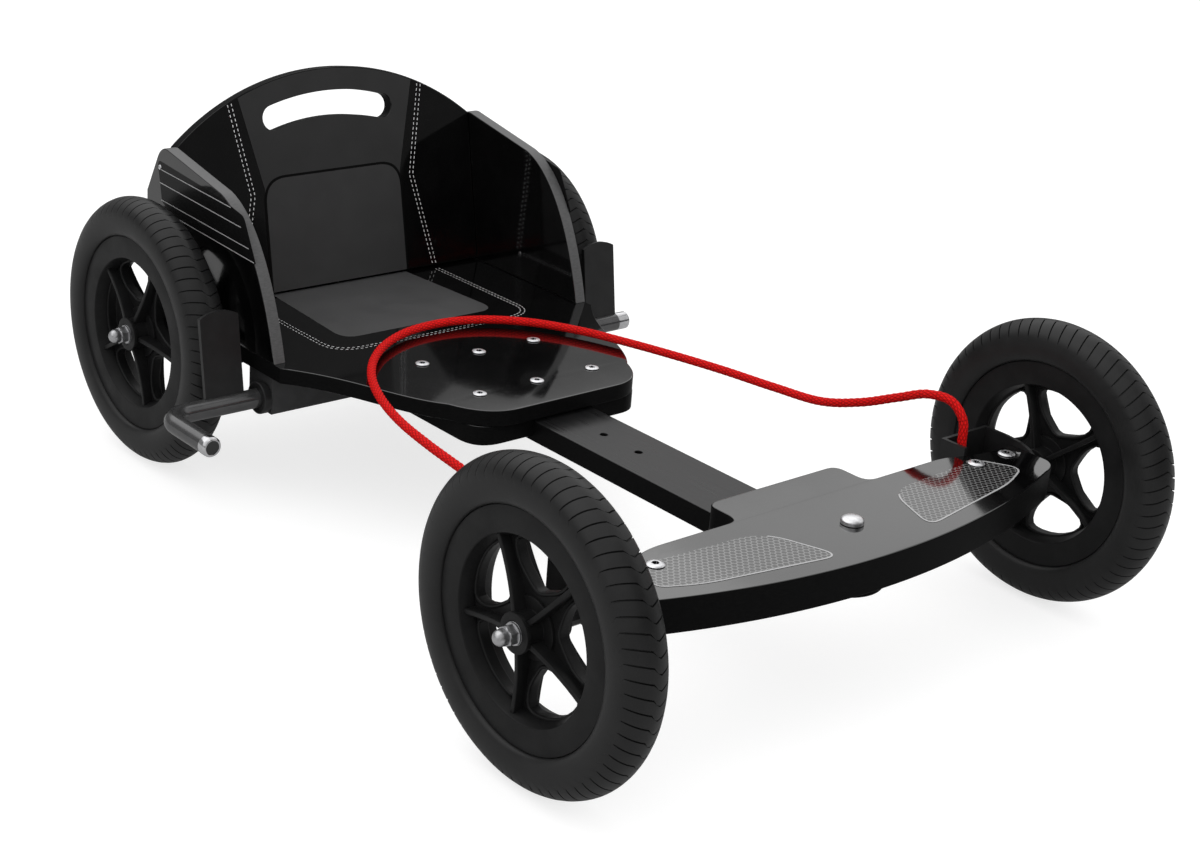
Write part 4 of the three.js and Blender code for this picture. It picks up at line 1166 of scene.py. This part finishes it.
top = [(x, back_top(x)) for x in [124 - 248 * i / 40 for i in range(41)]]
stripe = [(98, 128)] + top + [(-98, 128), (-100, 3.9), (100, 3.9)]
wide_slot = [(x * 1.012, y) for x, y in slot_outline()]
film("back_stripe", stripe, [wide_slot], ON_BOARD, back_place(), MATT, "frame")
border = eased([(101, 3.9, 0.5), (100, 142, 32), (-100, 142, 32), (-101, 3.9, 0.5)], 10, 14)
film("back_pad_border", border, [], ON_PRINT, back_place(), DARK_LINE, "frame")
pad = eased([(98, 3.9, 0.5), (97, 139, 30), (-97, 139, 30), (-98, 3.9, 0.5)], 10, 14)
film("back_pad", pad, [], ON_BORDER, back_place(), CUSHION, "frame")
seam_right = [(136, back_top(136) - 1), (115, 122), (141, 5)]
for name, flip in (("right", 1), ("left", -1)):
    path = resampled([(x * flip, y) for x, y in seam_right], 3)
    for i, gap in enumerate((-SEAM, SEAM)):
        lines(f"back_seam_{name}_{i + 1}", stitches(beside(path, gap)), 0.95, ON_BOARD, back_place(),
              STITCH, "frame")

# The side panels' outer faces, in Y from the rear axle and height over the board
band = eased([(58, 170, 8), (48, 122, 4), (13, 110, 4), (-154, 104, 3), (-128, 152, 6),
              (-82, 160, 6)], 4, 6)
rules = [[(53, 160), (-101, 155)], [(53, 144), (-122, 138)], [(50, 124), (-139, 118)],
         [(18, 111), (-150, 105)]]
screw_profile = [(0, 0), (2.9, 0), (3.1, 0.25), (2.9, 0.8), (2.2, 1.3), (1.4, 1.4), (1.1, 0.7), (0, 0.7)]
for name, sign in (("right", 1), ("left", -1)):
    out = facing_x(sign * PANEL_OUTER, REAR, BOARD_TOP, sign)
    film(f"side_band_{name}", band, [], ON_BOARD, out, BAND, "frame")
    lines(f"side_rules_{name}", rules, 0.95, ON_PRINT, out, PAD_LINE, "frame")
    for place, made, (face, y, z) in (("outer", BRIGHT, (225.1 * sign, 52, 162)),
                                      ("inner", BAR, (209.9 * sign, -80, 32))):
        screw = finish_mesh(lathe(f"panel_screw_{place}_{name}", screw_profile, 24, [made]), 50, False)
        flip = Matrix.Rotation(0.0 if (sign > 0) == (place == "outer") else math.pi, 4, "Z")
        screw.data.transform(at(face, REAR + y, BOARD_TOP + z) @ flip)
        fit(screw, "frame")


# Floor, world and lamps

# The camera sees the floor lifted to white with its shadow kept, and gloss sees a part of that lift
FLOOR, FLOOR_SEEN = 0.34, 0.4
GLOW_SEEN, GLOW_IN_GLOSS = 0.72, 0.12
floor_mesh = bpy.data.meshes.new("floor")
floor_mesh.from_pydata([(-30, -30, 0), (30, -30, 0), (30, 30, 0), (-30, 30, 0)], [], [(0, 1, 2, 3)])
floor_made = material("floor_white", grey(0.93), 0.95, Specular_IOR_Level=0.1)
floor = new_object("floor", floor_mesh, [floor_made])
n = Nodes(floor_made)
rays = n.node("ShaderNodeLightPath").outputs
n.color(n.mix(rays["Is Camera Ray"], grey(FLOOR), grey(FLOOR_SEEN)))
n.shader.inputs["Emission Color"].default_value = (1, 1, 1, 1)
in_gloss = n.math("MAXIMUM", rays["Is Glossy Ray"], rays["Is Transmission Ray"])
n.link(n.math("MAXIMUM", n.math("MULTIPLY", rays["Is Camera Ray"], GLOW_SEEN),
              n.math("MULTIPLY", in_gloss, GLOW_IN_GLOSS)), n.shader.inputs["Emission Strength"])

world = bpy.data.worlds.new("world")
world.use_nodes = True
scene.world = world
n = Nodes(world)
background = n.tree.nodes["Background"]
background.inputs["Color"].default_value = (1, 1, 1, 1)
background.inputs["Strength"].default_value = 0.85


def background_of(strength):
    made = n.node("ShaderNodeBackground")
    made.inputs["Color"].default_value = (1, 1, 1, 1)
    made.inputs["Strength"].default_value = strength
    return made


def mixed(share, a, b):
    made = n.node("ShaderNodeMixShader")
    for value, socket in zip((share, a.outputs[0], b.outputs[0]), made.inputs):
        n.link(value, socket)
    return made


rays = n.node("ShaderNodeLightPath").outputs
parts = n.node("ShaderNodeSeparateXYZ")
n.link(n.node("ShaderNodeTexCoord").outputs["Generated"], parts.inputs[0])

# Reflections are darker in front of the car, and darker low down behind it
front_dark = n.ramp(parts.outputs["Y"], -0.35, 0.45)
lifted = n.math("SUBTRACT", parts.outputs["Z"], n.math("MULTIPLY", parts.outputs["Y"], 0.5))
low_dark = n.ramp(lifted, 0.0, 0.09, 0.16, 1.0)
reflected = mixed(n.math("MINIMUM", front_dark, low_dark), background_of(0.07), background_of(1.0))
plain = mixed(rays["Is Camera Ray"], background, background_of(1.0))
seen = mixed(rays["Is Glossy Ray"], plain, reflected)
n.link(seen.outputs[0], n.tree.nodes["World Output"].inputs["Surface"])


def lamp(name, place, target, size, power):
    data = bpy.data.lights.new(name, "AREA")
    data.shape = "DISK"
    data.size = size
    data.energy = power
    obj = bpy.data.objects.new(name, data)
    scene.collection.objects.link(obj)
    obj.location = place
    obj.rotation_euler = (Vector(target) - Vector(place)).to_track_quat("-Z", "Y").to_euler()


lamp("key", (-2.4, -1.6, 3.2), (0, 0, 0.15), 7.2, 62)
lamp("fill", (2.8, -2.0, 2.6), (0, 0, 0.15), 3.4, 14)
lamp("top", (0.2, 1.6, 3.4), (0, 0.1, 0.15), 7.2, 42)

scene.view_settings.view_transform = "Standard"
bpy.context.view_layer.update()
